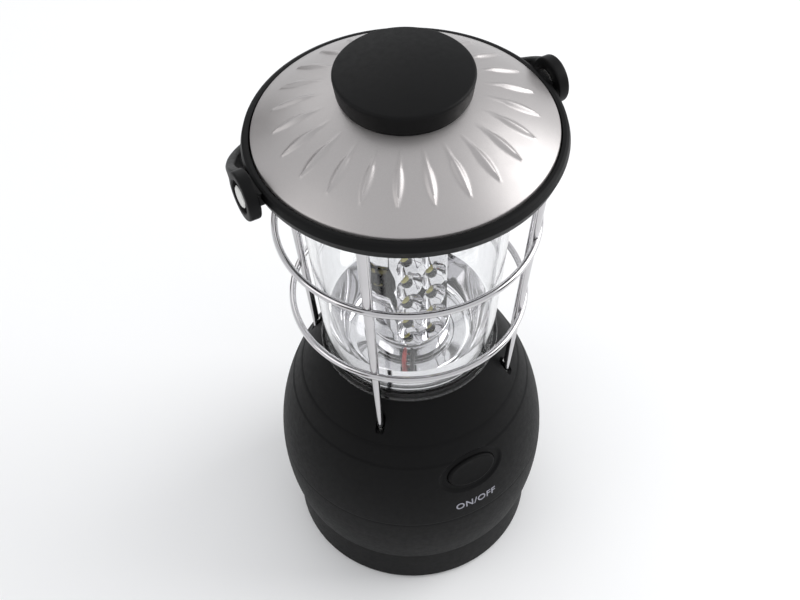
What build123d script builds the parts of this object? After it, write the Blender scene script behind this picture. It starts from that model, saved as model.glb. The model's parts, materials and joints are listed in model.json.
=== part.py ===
"""Battery camping lantern with a wire guard, a domed roof and a folding carrying bail.

Millimetres, +Z up.  The origin is the centre of the ring that the lantern stands on.  X is the
axis of the carrying handle and -Y is the front, where the push button is.
"""
from build123d import *
from math import asin, cos, degrees, hypot, radians, sin, sqrt
import os

# ---- overall sizes ------------------------------------------------------------------------
bulge_r = 63.4            # widest radius of the base housing
bulge_z = 54.0            # height of the widest place
bulge_curve_r = 120.0     # radius of the arc that the housing's side follows
seam_z = 25.7             # joint between the battery cover and the housing
deck_z = 127.5            # top of the housing, where the lens stands
cage_h = 112.5            # height from the housing's deck to the underside of the rim
wall = 2.6                # wall of the moulded housing and cover

# ---- rim, roof and knob -------------------------------------------------------------------
rim_w = 3.8               # rim outside the roof's edge
rim_floor_t = 3.0
rim_h = 7.4
roof_r = 56.0
roof_curve_r = 95.7
roof_rise = 8.0           # height of the roof's edge above the rim's underside
roof_skirt_h = 5.0
roof_wall = 1.8
roof_gap = 0.6            # shadow gap between the roof and the rim
roof_boss_in = 7.0        # screw bosses inside the roof's edge
roof_boss_r = 3.4
knob_r = 25.3
knob_foot_r = 23.4
knob_h = 9.0              # height of the knob's side
knob_crown = 2.4          # how far the knob's top is domed

# ---- lens and light -----------------------------------------------------------------------
lens_top_r = 43.3
lens_foot_r = 37.0
lens_wall = 2.2
lens_flange_w = 2.2
lens_flange_t = 2.0
gasket_t = 1.0
ceiling_t = 1.2
tower_w = 24.0            # side of the square light tower
tower_plate_t = 4.5       # the two faces that hold the light cups
tower_side_t = 1.6
seat_h = 15.0             # the tower's seat above the deck
bowl_h = 3.0              # floor of the dish above the deck
bowl_floor_w = 6.5        # level floor round the pedestal
pedestal_out = 1.0        # pedestal outside the tower's corners
dish_lip_h = 19.0
dish_t = 1.2
dish_gap = 0.4            # between the dish's lip and the globe
led_rows = 6
led_pitch = 13.0
led_first_h = 20.9        # lowest row above the deck
led_offset = 5.7          # each column from the middle of the face
led_r = 2.5
led_barrel = 1.8          # straight part below the round nose
led_fit = 0.2
cup_r = 5.7
cup_floor_t = 0.8         # plate left under a cup
board_t = 1.4
board_gap = 0.4           # between a lamp board and the tower's walls

# ---- guard --------------------------------------------------------------------------------
post_top_in = 3.0         # post's top inside the roof's edge
post_foot_in = 2.14       # post's foot inside the housing's side
post_foot_h = 12.5        # how deep the foot stands below the deck's height
post_top_w = 2.2          # half of a post's width at its top
post_foot_w = 1.5
wire_r = 1.4
upper_ring_h = 37.6       # rings, below the underside of the rim
lower_ring_h = 81.6
ring_stand_out = 1.7      # ring's centre line outside the posts' centre lines
slot_stretch = 2.6        # straight part of a post's slot
slot_extra = 1.0          # how much wider a slot is than its post
screw_below_foot = 4.0    # height below a post's foot at which its screw is centred
tie_grip = 6.0            # how far the tie screw reaches into a post
tie_head_r = 2.9
tie_head_h = 2.2
pillar_r = 5.5
top_screw_r = 1.25
top_head_r = 2.4
top_grip = 10.0

# ---- handle -------------------------------------------------------------------------------
strap_out = 1.9           # middle of the strap outside the boss's inner face
bail_ring_gap = 3.5846    # between the upper guard ring and the folded bail, level
strap_t = 3.6
strap_w = 14.5
boss_r = 9.3
boss_gap = 1.1            # between the rim and the boss
boss_t = 4.7
pocket_r = 6.2
pocket_t = 2.0
pivot_h = 3.2             # pivot above the underside of the rim
pivot_r = 2.5
pivot_thread_r = 1.4
pivot_thread = 12.4       # length of the screw inside the rim
washer_t = 0.4
pivot_fit = 0.06
pivot_head_r = 4.2
pivot_head_h = 1.9
washer_r = 5.0
block_w = 11.0            # width of the rim's pivot blocks
block_over = 2.0          # block above the pivot's thread
rest_tilt = 30.0          # folded bail, below the horizontal

# ---- battery room -------------------------------------------------------------------------
cell_r = 17.1
cell_h = 61.5
cell_z = 12.5
cell_gap = 0.6
cell_edge = 1.5
button_end_r = 4.75
button_end_h = 2.0
cell_slack = 1.0          # free height over the cells
holder_wall = 3.3         # outside the cells
holder_top_t = 3.0
holder_lift = 4.0         # holder's foot above the cells' foot
flange_round_screw = 5.4  # holder's flange outside the tie screws
contact_w = 10.0
contact_t = 0.5
contact_disc_t = 2.4
spring_turns = 3
spring_r = 5.5
spring_wire = 0.6
cover_edge_z = 1.8
cover_taper = 1.115       # cover's foot inside its upper edge
cover_floor_t = 2.6
foot_pad_in = 1.7
foot_pad_w = 9.0
foot_pad_t = 3.0
spigot_fit = 0.738        # between the spigot and the housing's wall
spigot_h = 7.6
spigot_t = 2.2
seal_t = 2.0
seal_depth = 1.1
seal_h = 0.8              # seal above the seam
lug_t = 1.8
lug_drop = 0.4            # lug's top below the spigot's top
gate_fit = 0.5            # room round a lug in its gate
ledge_fit = 0.4           # room between the spigot and the ledge
lug_angle = 20.0
gate_angle = 28.0
cover_turn = 35.0
ledge_h = 4.2

# ---- button and switch --------------------------------------------------------------------
button_z = 90.6
button_a = 11.75          # half width and half height of the oval
button_b = 7.1
button_fit = 0.35
moat_w = 3.55             # moat outside the button, to the sides and up
moat_h = 3.2
pad_w = 3.0               # thick pad outside the moat
moat_depth = 1.6
pad_depth = 5.0
flange_extra = 1.7
flange_t = 1.5
flange_gap = 0.583        # flange below the curved pad's edge
button_travel = 1.5
button_proud = 0.25
switch_gap = 2.4          # between the button's rear and the switch
switch_h = 6.7
switch_w = 9.0
switch_floor_t = 0.6
switch_board_t = 1.6
plunger_r = 1.9
plunger_fit = 0.4
board_w = 42.0
board_h = 13.0
board_screw_in = 4.0      # board screws inside the board's ends
board_screw_r = 1.0
board_head_r = 1.9
board_head_h = 1.4
board_pillar_r = 2.6
board_pillar_start = 3.5
board_screw_grip = 5.0

lead_r = 0.9
lead_apart = 1.8          # each lead from the middle between the two
lead_out = 2.8            # leads outside the pedestal
lead_azimuth = -120.0     # where the leads pass the dish
lead_hole_r = 3.2
lead_turn_h = 9.0         # height above the deck at which the leads enter the pedestal
lead_fan = 3.6            # between the leads at the lamp board
screw_r = 1.5
deck_hole_r = 9.0
deck_t = 3.0
rim_hole_r = 6.0
clearance = 0.3

# ---- places that follow from the sizes ----------------------------------------------------
def housing_r(z, inset=0.0):
    """Radius of the housing's side at a height, moved in by inset."""
    return bulge_r - bulge_curve_r + sqrt((bulge_curve_r - inset) ** 2 - (z - bulge_z) ** 2)


rim_r = roof_r + rim_w
boss_in = rim_r + boss_gap
bail_r = boss_in + strap_out
moat_a = button_a + moat_w
moat_b = button_b + moat_h
flange_drop = (button_a + flange_extra) ** 2 / (2 * (housing_r(button_z) - pad_depth)) + flange_gap
board_screw_x = board_w / 2 - board_screw_in
lens_flange_r = lens_foot_r + lens_flange_w
cover_edge_r = housing_r(seam_z) - cover_taper
foot_pad_r = cover_edge_r - foot_pad_in
spigot_r = housing_r(seam_z, wall) - spigot_fit
rim_z = deck_z + cage_h
roof_z = rim_z + roof_rise
pivot_z = rim_z + pivot_h
seat_z = deck_z + seat_h
post_azimuths = (45, 135, 225, 315)
roof_boss_azimuths = (30, 150, 210, 330)
post_foot_z = deck_z - post_foot_h
post_top_r = roof_r - post_top_in
post_foot_r = housing_r(post_foot_z) - post_foot_in
post_lean = degrees(asin((post_top_r - post_foot_r) / hypot(post_top_r - post_foot_r, rim_z - post_foot_z)))
lens_z = deck_z + gasket_t
lens_top_z = rim_z - gasket_t
ceiling_z = rim_z - ceiling_t
pivot_face_x = boss_in - washer_t - clearance
pivot_end_x = pivot_face_x - pivot_thread
cell_off = cell_r + cell_gap / 2
holder_r = cell_off * sqrt(2) + cell_r + holder_wall
holder_top_z = cell_z + cell_h + cell_slack + holder_top_t
holder_under_z = holder_top_z - holder_top_t
contact_z = cover_edge_z + cover_floor_t + clearance + contact_disc_t
pedestal_r = tower_w / 2 * sqrt(2) + pedestal_out
lamp_board_y = -tower_w / 2 + tower_plate_t + board_t / 2
bowl_z = deck_z + bowl_h
lead_top_z = deck_z + lead_turn_h


def roof_height(r, inset=0.0):
    """Height of the roof's upper side at a radius, moved in by inset."""
    centre_z = roof_z - sqrt(roof_curve_r ** 2 - roof_r ** 2)
    return centre_z + sqrt((roof_curve_r - inset) ** 2 - r ** 2)


def post_r(z):
    """Distance of a post's centre line from the lantern's axis."""
    share = (z - post_foot_z) / (rim_z - post_foot_z)
    return post_foot_r + (post_top_r - post_foot_r) * share


tie_screw_r = post_r(post_foot_z - screw_below_foot)
upper_ring_out = post_r(rim_z - upper_ring_h) + ring_stand_out + wire_r
bail_reach = (upper_ring_out + bail_ring_gap) / cos(radians(rest_tilt)) - bail_r + strap_t / 2


def turned(*points):
    """A solid turned about Z from corners given as (radius, height)."""
    outline = Polyline(*[(r, 0, z) for r, z in points], close=True)
    return revolve(make_face(outline.edges()), Axis.Z)


def turned_edges(*edges):
    """A solid turned about Z from edges that lie in the XZ plane."""
    return revolve(make_face(edges), Axis.Z)


def disc(radius, low, high, at=(0, 0)):
    """An upright cylinder between two heights."""
    return Pos(at[0], at[1], (low + high) / 2) * Cylinder(radius, high - low)


def ring(outer, inner, low, high):
    """An upright washer between two heights."""
    return disc(outer, low, high) - disc(inner, low - 1, high + 1)


def torus_at(major, minor, z):
    """A round wire ring lying flat."""
    return Pos(0, 0, z) * Torus(major, minor)


def group(solids):
    """Separate like pieces that share one node."""
    return Compound(children=[s for s in solids])


def polar(radius, angle, z=0.0):
    """A place at an azimuth, in degrees from +X."""
    return Location((radius * cos(radians(angle)), radius * sin(radians(angle)), z))


def xz_line(a, b):
    """A straight edge in the XZ plane."""
    return Line((a[0], 0, a[1]), (b[0], 0, b[1]))


def xz_arc(a, middle, b):
    """An arc through three places in the XZ plane."""
    return ThreePointArc((a[0], 0, a[1]), (middle[0], 0, middle[1]), (b[0], 0, b[1]))


# ---- the housing ---------------------------------------------------------------------------
def housing_solid(inset, low, high):
    """The solid inside the housing's curved side."""
    middle = (low + high) / 2
    side = xz_arc((housing_r(low, inset), low), (housing_r(middle, inset), middle), (housing_r(high, inset), high))
    return turned_edges(side, xz_line((housing_r(high, inset), high), (0, high)),
                        xz_line((0, high), (0, low)), xz_line((0, low), (housing_r(low, inset), low)))


def button_plane():
    """The plane that touches the housing at the button; its Z axis points outwards."""
    tilt = degrees(asin((button_z - bulge_z) / bulge_curve_r))
    return Location((0, -housing_r(button_z), button_z), (90 - tilt, 0, 0))


def oval(a, b, low, high):
    """An oval prism on the button's axis between two distances from the surface."""
    block = extrude(Ellipse(a, b), high - low)
    return button_plane() * (Pos(0, 0, low) * block)


def on_button_axis(shape, x, y, z):
    """A shape placed in the button's own frame."""
    return button_plane() * (Pos(x, y, z) * shape)


def board_depth():
    """How deep the switch's circuit board lies behind the surface."""
    return back_of_button() + switch_gap + switch_h


def base_housing():
    """Bulbous housing: shell, deck, post sockets, bayonet ledge and the button's well."""
    outside = housing_solid(0, seam_z, deck_z)
    inside = housing_solid(wall, seam_z - 1, deck_z - deck_t)
    shell = outside - inside
    for angle in post_azimuths:
        shell += disc(pillar_r, holder_top_z, deck_z, screw_place(angle)) & outside
    pad = oval(moat_a + pad_w, moat_b + pad_w, -pad_depth - 6, 4) & outside
    shell += pad - housing_solid(pad_depth, seam_z, deck_z)
    shell += ring(housing_r(seam_z, wall) + 1, spigot_r + ledge_fit, seam_z, seam_z + ledge_h) & outside
    for angle in (0, 90, 180, 270):
        gate = wedge(spigot_r - 1, spigot_r + lug_t + gate_fit, gate_angle, seam_z - 1,
                     seam_z + ledge_h + gate_fit)
        shell -= Rot(0, 0, angle) * gate
    shell -= ring(spigot_r + lug_t + ledge_fit, spigot_r - 4, seam_z + ledge_h, seam_z + spigot_h + 1)
    well = oval(moat_a, moat_b, -12, 6) - housing_solid(moat_depth, seam_z, deck_z)
    shell -= well
    shell -= oval(button_a + button_fit, button_b + button_fit, -14, 6)
    for side in (-1, 1):
        pillar = on_button_axis(Cylinder(board_pillar_r, board_depth() - board_pillar_start),
                                side * board_screw_x, 0, -(board_depth() + board_pillar_start) / 2)
        bore = on_button_axis(Cylinder(board_screw_r, 7), side * board_screw_x, 0, -board_depth() + 3.4)
        shell += pillar & outside
        shell -= bore
    for solid in post_sockets():
        shell -= solid
    shell -= disc(deck_hole_r, deck_z - 10, deck_z + 1)
    shell -= disc(lead_hole_r, deck_z - 10, deck_z + 1, lead_place())
    return shell


def screw_place(angle):
    """Centre of the tie screw of the post at an azimuth."""
    return (tie_screw_r * cos(radians(angle)), tie_screw_r * sin(radians(angle)))


def wedge(inner, outer, angle, low, high):
    """A piece of a ring that spans an angle about +X."""
    piece = ring(outer, inner, low, high)
    half = angle / 2
    reach = outer * 2
    cut = Polyline((0, 0), (reach, -reach * sin(radians(half)) / cos(radians(half))),
                   (reach, reach * sin(radians(half)) / cos(radians(half))), close=True)
    return piece & (Pos(0, 0, low - 1) * extrude(make_face(cut.edges()), high - low + 2))


def post_sockets():
    """Rounded slots in the shoulder that the posts stand in, and the holes of the tie screws."""
    slots = []
    for angle in post_azimuths:
        slot = extrude(SlotCenterToCenter(slot_stretch, 2 * (post_foot_w + clearance) + slot_extra), 40)
        slot = Pos(post_foot_r, 0, post_foot_z) * (Rot(0, post_lean, 90) * slot)
        slots.append(Rot(0, 0, angle) * slot)
        slots.append(disc(screw_r, holder_top_z - 5, post_foot_z + tie_grip + clearance, screw_place(angle)))
    return slots


# ---- battery room --------------------------------------------------------------------------
def battery_cover():
    """Turn-off cover that is also the lantern's foot: cup, spigot and four bayonet lugs."""
    seam_r = housing_r(seam_z)
    cup = turned((0, cover_edge_z), (cover_edge_r - 0.8, cover_edge_z), (cover_edge_r, cover_edge_z + 0.8),
                 (seam_r, seam_z - clearance), (0, seam_z - clearance))
    room = turned((0, cover_edge_z + cover_floor_t), (cover_edge_r - wall, cover_edge_z + cover_floor_t),
                  (spigot_r - spigot_t, seam_z), (0, seam_z))
    spigot = ring(spigot_r, spigot_r - spigot_t, seam_z - 4, seam_z + spigot_h)
    cover = cup - room + spigot
    for angle in (0, 90, 180, 270):
        lug = wedge(spigot_r - 0.5, spigot_r + lug_t, lug_angle, seam_z + ledge_h + clearance,
                    seam_z + spigot_h - lug_drop)
        cover += Rot(0, 0, angle - cover_turn) * lug
    cover -= ring(spigot_r + 1, spigot_r - seal_depth, seam_z + seal_h, seam_z + seal_h + seal_t)
    cover -= foot_pad()
    return cover


def foot_pad():
    """Non-slip rubber ring under the cover."""
    return ring(foot_pad_r, foot_pad_r - foot_pad_w, 0, foot_pad_t)


def cover_seal():
    """Rubber seal in the spigot's groove."""
    return ring(spigot_r + 0.1, spigot_r - seal_depth, seam_z + seal_h, seam_z + seal_h + seal_t)


def cell_places():
    """Centres of the four cells, with +1 where the button end is up."""
    return [(cell_off, cell_off, 1), (-cell_off, cell_off, -1), (-cell_off, -cell_off, 1),
            (cell_off, -cell_off, -1)]


def battery_cells():
    """Four D cells standing upright, two of them upside down."""
    cells = []
    for x, y, up in cell_places():
        shoulder = cell_h - button_end_h
        can = turned((0, 0), (cell_r - cell_edge, 0), (cell_r, cell_edge), (cell_r, shoulder - cell_edge),
                     (cell_r - cell_edge, shoulder), (button_end_r, shoulder), (button_end_r, cell_h), (0, cell_h))
        if up < 0:
            can = Pos(0, 0, cell_h) * (Rot(180, 0, 0) * can)
        cells.append(Pos(x, y, cell_z) * can)
    return group(cells)


def battery_holder():
    """Tray with four bores, screwed to the housing's pillars by its flange."""
    body = disc(holder_r, cell_z + holder_lift, holder_top_z)
    body += disc(tie_screw_r + flange_round_screw, holder_under_z, holder_top_z)
    for x, y, up in cell_places():
        body -= disc(cell_r + cell_gap / 4, cell_z, cell_z + cell_h + cell_slack, (x, y))
        body -= disc(3.0, cell_z + cell_h, holder_top_z + 1, (x, y))
    for angle in post_azimuths:
        body -= disc(screw_r + 0.1, holder_under_z - 1, holder_top_z + 1, screw_place(angle))
        body -= disc(tie_head_r + 0.5, cell_z, holder_under_z, screw_place(angle))
    return body


def contact_disc():
    """Keyed plate under the cells that carries the lower contacts."""
    return disc(holder_r, contact_z - contact_disc_t, contact_z)


def lower_contacts():
    """Two strips that bridge the cells' lower ends."""
    strip = Box(contact_w, 2 * cell_off + contact_w, contact_t)
    return group([Pos(side * cell_off, 0, contact_z + contact_t / 2) * strip for side in (-1, 1)])


def upper_contacts():
    """Plates over the cells' upper ends: one bridge and the two poles."""
    z = holder_top_z + contact_t / 2
    bridge = Pos(0, cell_off, z) * Box(2 * cell_off + contact_w, contact_w, contact_t)
    poles = [Pos(side * cell_off, -cell_off, z) * Box(12, contact_w, contact_t) for side in (-1, 1)]
    return group([bridge] + poles)


def battery_springs():
    """Springs that press on the flat ends of the cells."""
    low_z = contact_z + contact_t
    height = cell_z - low_z - 2 * spring_wire
    springs = []
    for x, y, up in cell_places():
        if up > 0:
            path = Helix(pitch=height / spring_turns, height=height, radius=spring_r)
            wire = sweep(Plane(origin=path @ 0, z_dir=path % 0) * Circle(spring_wire), path, is_frenet=True)
            springs.append(Pos(x, y, low_z + spring_wire) * wire)
    return group(springs)


# ---- light ---------------------------------------------------------------------------------
def lens():
    """Clear tapering globe with a foot flange."""
    rise = lens_top_z - lens_z - lens_flange_t
    outer = turned((lens_foot_r, lens_z), (lens_flange_r, lens_z), (lens_flange_r, lens_z + lens_flange_t),
                   (lens_foot_r, lens_z + lens_flange_t), (lens_top_r, lens_top_z), (0, lens_top_z), (0, lens_z))
    slope = (lens_top_r - lens_foot_r) / rise
    inner = turned((0, lens_z - 1), (lens_foot_r - lens_wall - slope * (lens_flange_t + 1), lens_z - 1),
                   (lens_top_r - lens_wall + slope, lens_top_z + 1), (0, lens_top_z + 1))
    return outer - inner


def lens_inner_r(z):
    """Radius of the globe's inner side."""
    share = (z - lens_z - lens_flange_t) / (lens_top_z - lens_z - lens_flange_t)
    return lens_foot_r - lens_wall + (lens_top_r - lens_foot_r) * share


def lens_gasket_lower():
    """Flat rubber ring under the globe."""
    return ring(lens_flange_r - 0.6, lens_inner_r(lens_z) + 0.2, deck_z, lens_z)


def lens_gasket_upper():
    """Flat rubber ring between the globe and the rim."""
    return ring(lens_top_r + 0.4, lens_top_r - lens_wall, lens_top_z, rim_z)


def reflector_dish():
    """Mirrored bowl at the foot of the globe, with a hollow pedestal for the tower in its middle."""
    lip_z = deck_z + dish_lip_h
    lip_r = lens_inner_r(lip_z) - dish_gap
    low_r = pedestal_r + bowl_floor_w
    under_z = bowl_z - dish_t
    inner_r = pedestal_r - dish_t
    top = [xz_line((0, seat_z), (pedestal_r, seat_z)), xz_line((pedestal_r, seat_z), (pedestal_r, bowl_z)),
           xz_line((pedestal_r, bowl_z), (low_r, bowl_z)),
           xz_arc((low_r, bowl_z), (lip_r - 3.6, lip_z - 9.5), (lip_r, lip_z))]
    edge = xz_line((lip_r, lip_z), (lip_r, lip_z - dish_t))
    under = [xz_arc((lip_r, lip_z - dish_t), (lip_r - 3.2, lip_z - 10.6), (low_r, under_z)),
             xz_line((low_r, under_z), (inner_r, under_z)),
             xz_line((inner_r, under_z), (inner_r, seat_z - dish_t)),
             xz_line((inner_r, seat_z - dish_t), (0, seat_z - dish_t)),
             xz_line((0, seat_z - dish_t), (0, seat_z))]
    dish = turned_edges(*top, edge, *under)
    dish += ring(pedestal_r + 3, inner_r, deck_z, bowl_z)
    dish -= disc(deck_hole_r, seat_z - dish_t - 1, seat_z + 1)
    dish -= disc(lead_hole_r, deck_z - 1, bowl_z + 1, lead_place())
    gate_w = 2 * (lead_apart + lead_r) + 1.6
    gate = Pos(pedestal_r, 0, lead_top_z) * Box(4 * dish_t, gate_w, 2 * lead_r + 2.0)
    return dish - Rot(0, 0, lead_azimuth) * gate


def lead_place(side=0):
    """Where the lamp leads pass the deck; side is -1 or +1 for one lead and 0 for their middle."""
    out = pedestal_r + lead_out
    angle = radians(lead_azimuth)
    across = side * lead_apart
    return (out * cos(angle) - across * sin(angle), out * sin(angle) + across * cos(angle))


def led_places():
    """Row heights and column offsets of the lamps on one face."""
    rows = [deck_z + led_first_h + led_pitch * i for i in range(led_rows)]
    return [(side * led_offset, z) for z in rows for side in (-1, 1)]


def light_tower():
    """Square mirrored column; its front and back hold two columns of light cups."""
    height = ceiling_z - seat_z
    middle = (ceiling_z + seat_z) / 2
    tower = Pos(0, 0, middle) * Box(tower_w, tower_w, height)
    room = Pos(0, 0, middle) * Box(tower_w - 2 * tower_side_t, tower_w - 2 * tower_plate_t, height + 2)
    tower -= room
    depth = tower_plate_t - cup_floor_t
    for x, z in led_places():
        cup = Cone(led_r + led_fit, cup_r, depth)
        hole = Cylinder(led_r + led_fit, 2 * tower_plate_t)
        for turn in (0, 180):
            front = Rot(0, 0, turn) * (Pos(x, -tower_w / 2 + depth / 2, z) * (Rot(90, 0, 0) * cup))
            bore = Rot(0, 0, turn) * (Pos(x, -tower_w / 2 + tower_plate_t / 2, z) * (Rot(90, 0, 0) * hole))
            tower = tower - front - bore
    return tower


def led_board(turn):
    """Circuit board behind one face's lamps."""
    height = ceiling_z - seat_z - 1.0
    board = Box(tower_w - 2 * tower_side_t - board_gap, board_t, height)
    board = Pos(0, lamp_board_y, seat_z + height / 2) * board
    return Rot(0, 0, turn) * board


def leds(turn):
    """Lamps of one face: a short barrel with a round nose each."""
    base_y = -tower_w / 2 + tower_plate_t
    slant = led_r * sin(radians(45))
    tip = led_barrel + led_r
    lamps = []
    for x, z in led_places():
        barrel = turned_edges(xz_line((0, 0), (led_r, 0)), xz_line((led_r, 0), (led_r, led_barrel)),
                              xz_arc((led_r, led_barrel), (slant, led_barrel + slant), (0, tip)),
                              xz_line((0, tip), (0, 0)))
        lamps.append(Rot(0, 0, turn) * (Pos(x, base_y, z) * (Rot(90, 0, 0) * barrel)))
    return group(lamps)


def ceiling_reflector():
    """Mirrored disc over the light."""
    return disc(lens_inner_r(ceiling_z) - 0.3, ceiling_z, rim_z)


def lamp_lead(side):
    """One of the two leads from the switch board through the pedestal to the front lamp board."""
    x, y = lead_place(side)
    switch = button_plane() * Location((side * 6.0, 3.0, -board_depth() - switch_board_t))
    start = switch.position
    end_x = (side - 1.3) * lead_fan / 2
    points = [(start.X, start.Y, start.Z), (start.X, start.Y + 6.0, start.Z - 1.9), (x, y - 6.0, deck_z - 22.0),
              (x, y, deck_z - 9.0), (x, y, lead_top_z), (end_x, lamp_board_y, lead_top_z),
              (end_x, lamp_board_y, seat_z)]
    path = FilletPolyline(*points, radius=[2.0, 6.0, 6.0, 2.6, 2.6])
    return sweep(Plane(origin=path @ 0, z_dir=path % 0) * Circle(lead_r), path)


# ---- guard ---------------------------------------------------------------------------------
def guard_ring(below_rim):
    """Wire ring round the posts."""
    z = rim_z - below_rim
    return torus_at(post_r(z) + ring_stand_out, wire_r, z)


def guard_post():
    """One tapering post at azimuth 0, notched for the rings."""
    height = rim_z - post_foot_z
    length = hypot(height, post_top_r - post_foot_r)
    post = Pos(0, 0, length / 2) * Cone(post_foot_w, post_top_w, length + 4)
    post = Pos(post_foot_r, 0, post_foot_z) * (Rot(0, post_lean, 0) * post)
    post = post & (Pos(0, 0, (rim_z + post_foot_z) / 2) * Box(300, 300, height))
    post -= guard_ring(upper_ring_h)
    post -= guard_ring(lower_ring_h)
    return post


def top_screw():
    """Countersunk screw from the rim's floor into a post."""
    low = rim_z - top_grip
    high = rim_z + rim_floor_t
    screw = turned((0, low), (top_screw_r, low), (top_screw_r, rim_z + 1.2), (top_head_r, high), (0, high))
    return Pos(post_r(rim_z - top_grip / 2), 0, 0) * screw


def tie_screw():
    """Long screw from the battery holder's flange up into a post's foot."""
    shank_r = screw_r - clearance
    head_z = holder_under_z - tie_head_h
    tip_z = post_foot_z + tie_grip
    screw = turned((0, head_z), (tie_head_r, head_z), (tie_head_r, holder_under_z), (shank_r, holder_under_z),
                   (shank_r, tip_z), (0, tip_z))
    return Pos(tie_screw_r, 0, 0) * screw


def around(make):
    """A piece made at azimuth 0, repeated at the four posts."""
    piece = make()
    return [Rot(0, 0, angle) * piece for angle in post_azimuths]


# ---- rim, roof and knob --------------------------------------------------------------------
def rim_ring():
    """Black rim: floor, upstand and the two blocks that hold the handle's pivots."""
    lip_r = roof_r + roof_gap
    rim = turned((0, rim_z), (rim_r - 2.1, rim_z), (rim_r - 1.3, rim_z + 0.8), (rim_r, rim_z + 4.6),
                 (rim_r - 0.9, rim_z + rim_h - 0.6), (rim_r - 2.0, rim_z + rim_h), (lip_r, rim_z + rim_h),
                 (lip_r, rim_z + rim_floor_t), (0, rim_z + rim_floor_t))
    for side in (-1, 1):
        for low_x, high_x in ((pivot_end_x, roof_r - roof_wall - roof_gap), (lip_r + 0.2, pivot_face_x)):
            block_h = pivot_h + pivot_thread_r + block_over
            block = Box(high_x - low_x, block_w, block_h)
            rim += Pos(side * (low_x + high_x) / 2, 0, rim_z + block_h / 2) * block
    rim -= disc(rim_hole_r, rim_z - 1, rim_z + rim_floor_t + 1)
    for screw in around(top_screw):
        rim -= screw
    for screw in roof_screw_set():
        rim -= screw
    for screw in pivot_screw_set():
        rim -= screw
    return rim


def roof_screw_set():
    """Screws from under the rim's floor into the roof's bosses."""
    screw = turned((0, rim_z - 1.6), (2.6, rim_z - 1.6), (2.6, rim_z), (1.3, rim_z), (1.3, rim_z + 9), (0, rim_z + 9))
    return [polar(roof_r - roof_boss_in, angle) * screw for angle in roof_boss_azimuths]


def roof_dome():
    """Domed sheet roof with four screw bosses and the knob screw's hole."""
    base_z = roof_z - roof_skirt_h
    outer = turned_edges(xz_line((0, base_z), (roof_r, base_z)), xz_line((roof_r, base_z), (roof_r, roof_z)),
                         xz_arc((roof_r, roof_z), (roof_r / 2, roof_height(roof_r / 2)), (0, roof_height(0))),
                         xz_line((0, roof_height(0)), (0, base_z)))
    in_r = roof_r - roof_wall
    inner = turned_edges(xz_line((0, base_z - 1), (in_r, base_z - 1)),
                         xz_line((in_r, base_z - 1), (in_r, roof_height(in_r, roof_wall))),
                         xz_arc((in_r, roof_height(in_r, roof_wall)), (in_r / 2, roof_height(in_r / 2, roof_wall)),
                                (0, roof_height(0, roof_wall))),
                         xz_line((0, roof_height(0, roof_wall)), (0, base_z - 1)))
    roof = outer - inner
    for angle in roof_boss_azimuths:
        place = polar(roof_r - roof_boss_in, angle).position
        roof += disc(roof_boss_r, base_z, roof_z + 4, (place.X, place.Y)) & outer
    for screw in roof_screw_set():
        roof -= screw
    thread_room = pivot_thread_r + clearance
    for side in (-1, 1):
        roof -= Pos(side * roof_r, 0, pivot_z) * (Rot(0, 90, 0) * Cylinder(thread_room, 12))
        roof -= Pos(side * roof_r, 0, pivot_z - 5) * Box(12, 2 * thread_room, 10)
    return roof - knob_screw()


def crown_height(r, rim_radius, rise):
    """Height of a domed top above its edge, at a radius."""
    curve_r = (rim_radius ** 2 + rise ** 2) / (2 * rise)
    return sqrt(curve_r ** 2 - r ** 2) - (curve_r - rise)


def top_knob():
    """Domed button on top of the roof; its underside fits the roof."""
    low = roof_height(knob_foot_r)
    high = low + knob_h
    edge_r = knob_r - 0.5
    knob = turned_edges(xz_arc((0, roof_height(0)), (knob_foot_r / 2, roof_height(knob_foot_r / 2)),
                               (knob_foot_r, low)),
                        xz_line((knob_foot_r, low), (knob_r, high - 0.6)),
                        xz_line((knob_r, high - 0.6), (edge_r, high)),
                        xz_arc((edge_r, high), (edge_r / 2, high + crown_height(edge_r / 2, edge_r, knob_crown)),
                               (0, high + knob_crown)),
                        xz_line((0, high + knob_crown), (0, roof_height(0))))
    return knob - knob_screw()


def knob_screw():
    """Screw that holds the knob from inside the roof."""
    under = roof_height(0, roof_wall)
    return turned((0, under - 2.4), (3.6, under - 2.4), (3.6, under), (2.0, under), (2.0, under + 8), (0, under + 8))


# ---- handle --------------------------------------------------------------------------------
def bail_flat():
    """The bail lying level, reaching towards +Y from its pivot axis at Z = 0."""
    outer = bail_r + strap_t / 2
    inner = bail_r - strap_t / 2
    arch = ring(outer, inner, -strap_w / 2, strap_w / 2)
    arch = Pos(0, bail_reach, 0) * (arch & (Pos(0, outer, 0) * Box(3 * outer, 2 * outer, strap_w + 2)))
    for side in (-1, 1):
        leg = Pos(side * bail_r, bail_reach / 2, 0) * Box(strap_t, bail_reach, strap_w)
        boss = Pos(side * (boss_in + boss_t / 2), 0, 0) * (Rot(0, 90, 0) * Cylinder(boss_r, boss_t))
        root = Box(boss_t - 0.8, 1.1 * boss_r, strap_w)
        root = Pos(side * (boss_in + boss_t / 2 + 0.4), 0.55 * boss_r, 0) * root
        arch = arch + leg + boss + root
    for side in (-1, 1):
        bore = Pos(side * boss_in, 0, 0) * (Rot(0, 90, 0) * Cylinder(pivot_r + pivot_fit, 4 * boss_t))
        pocket = Pos(side * (boss_in + boss_t - pocket_t / 2 + 2), 0, 0) * (
            Rot(0, 90, 0) * Cylinder(pocket_r, pocket_t + 4))
        arch = arch - bore - pocket
    return arch


def handle():
    """The bail folded down behind the lantern."""
    return Pos(0, 0, pivot_z) * (Rot(-rest_tilt, 0, 0) * bail_flat())


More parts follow.
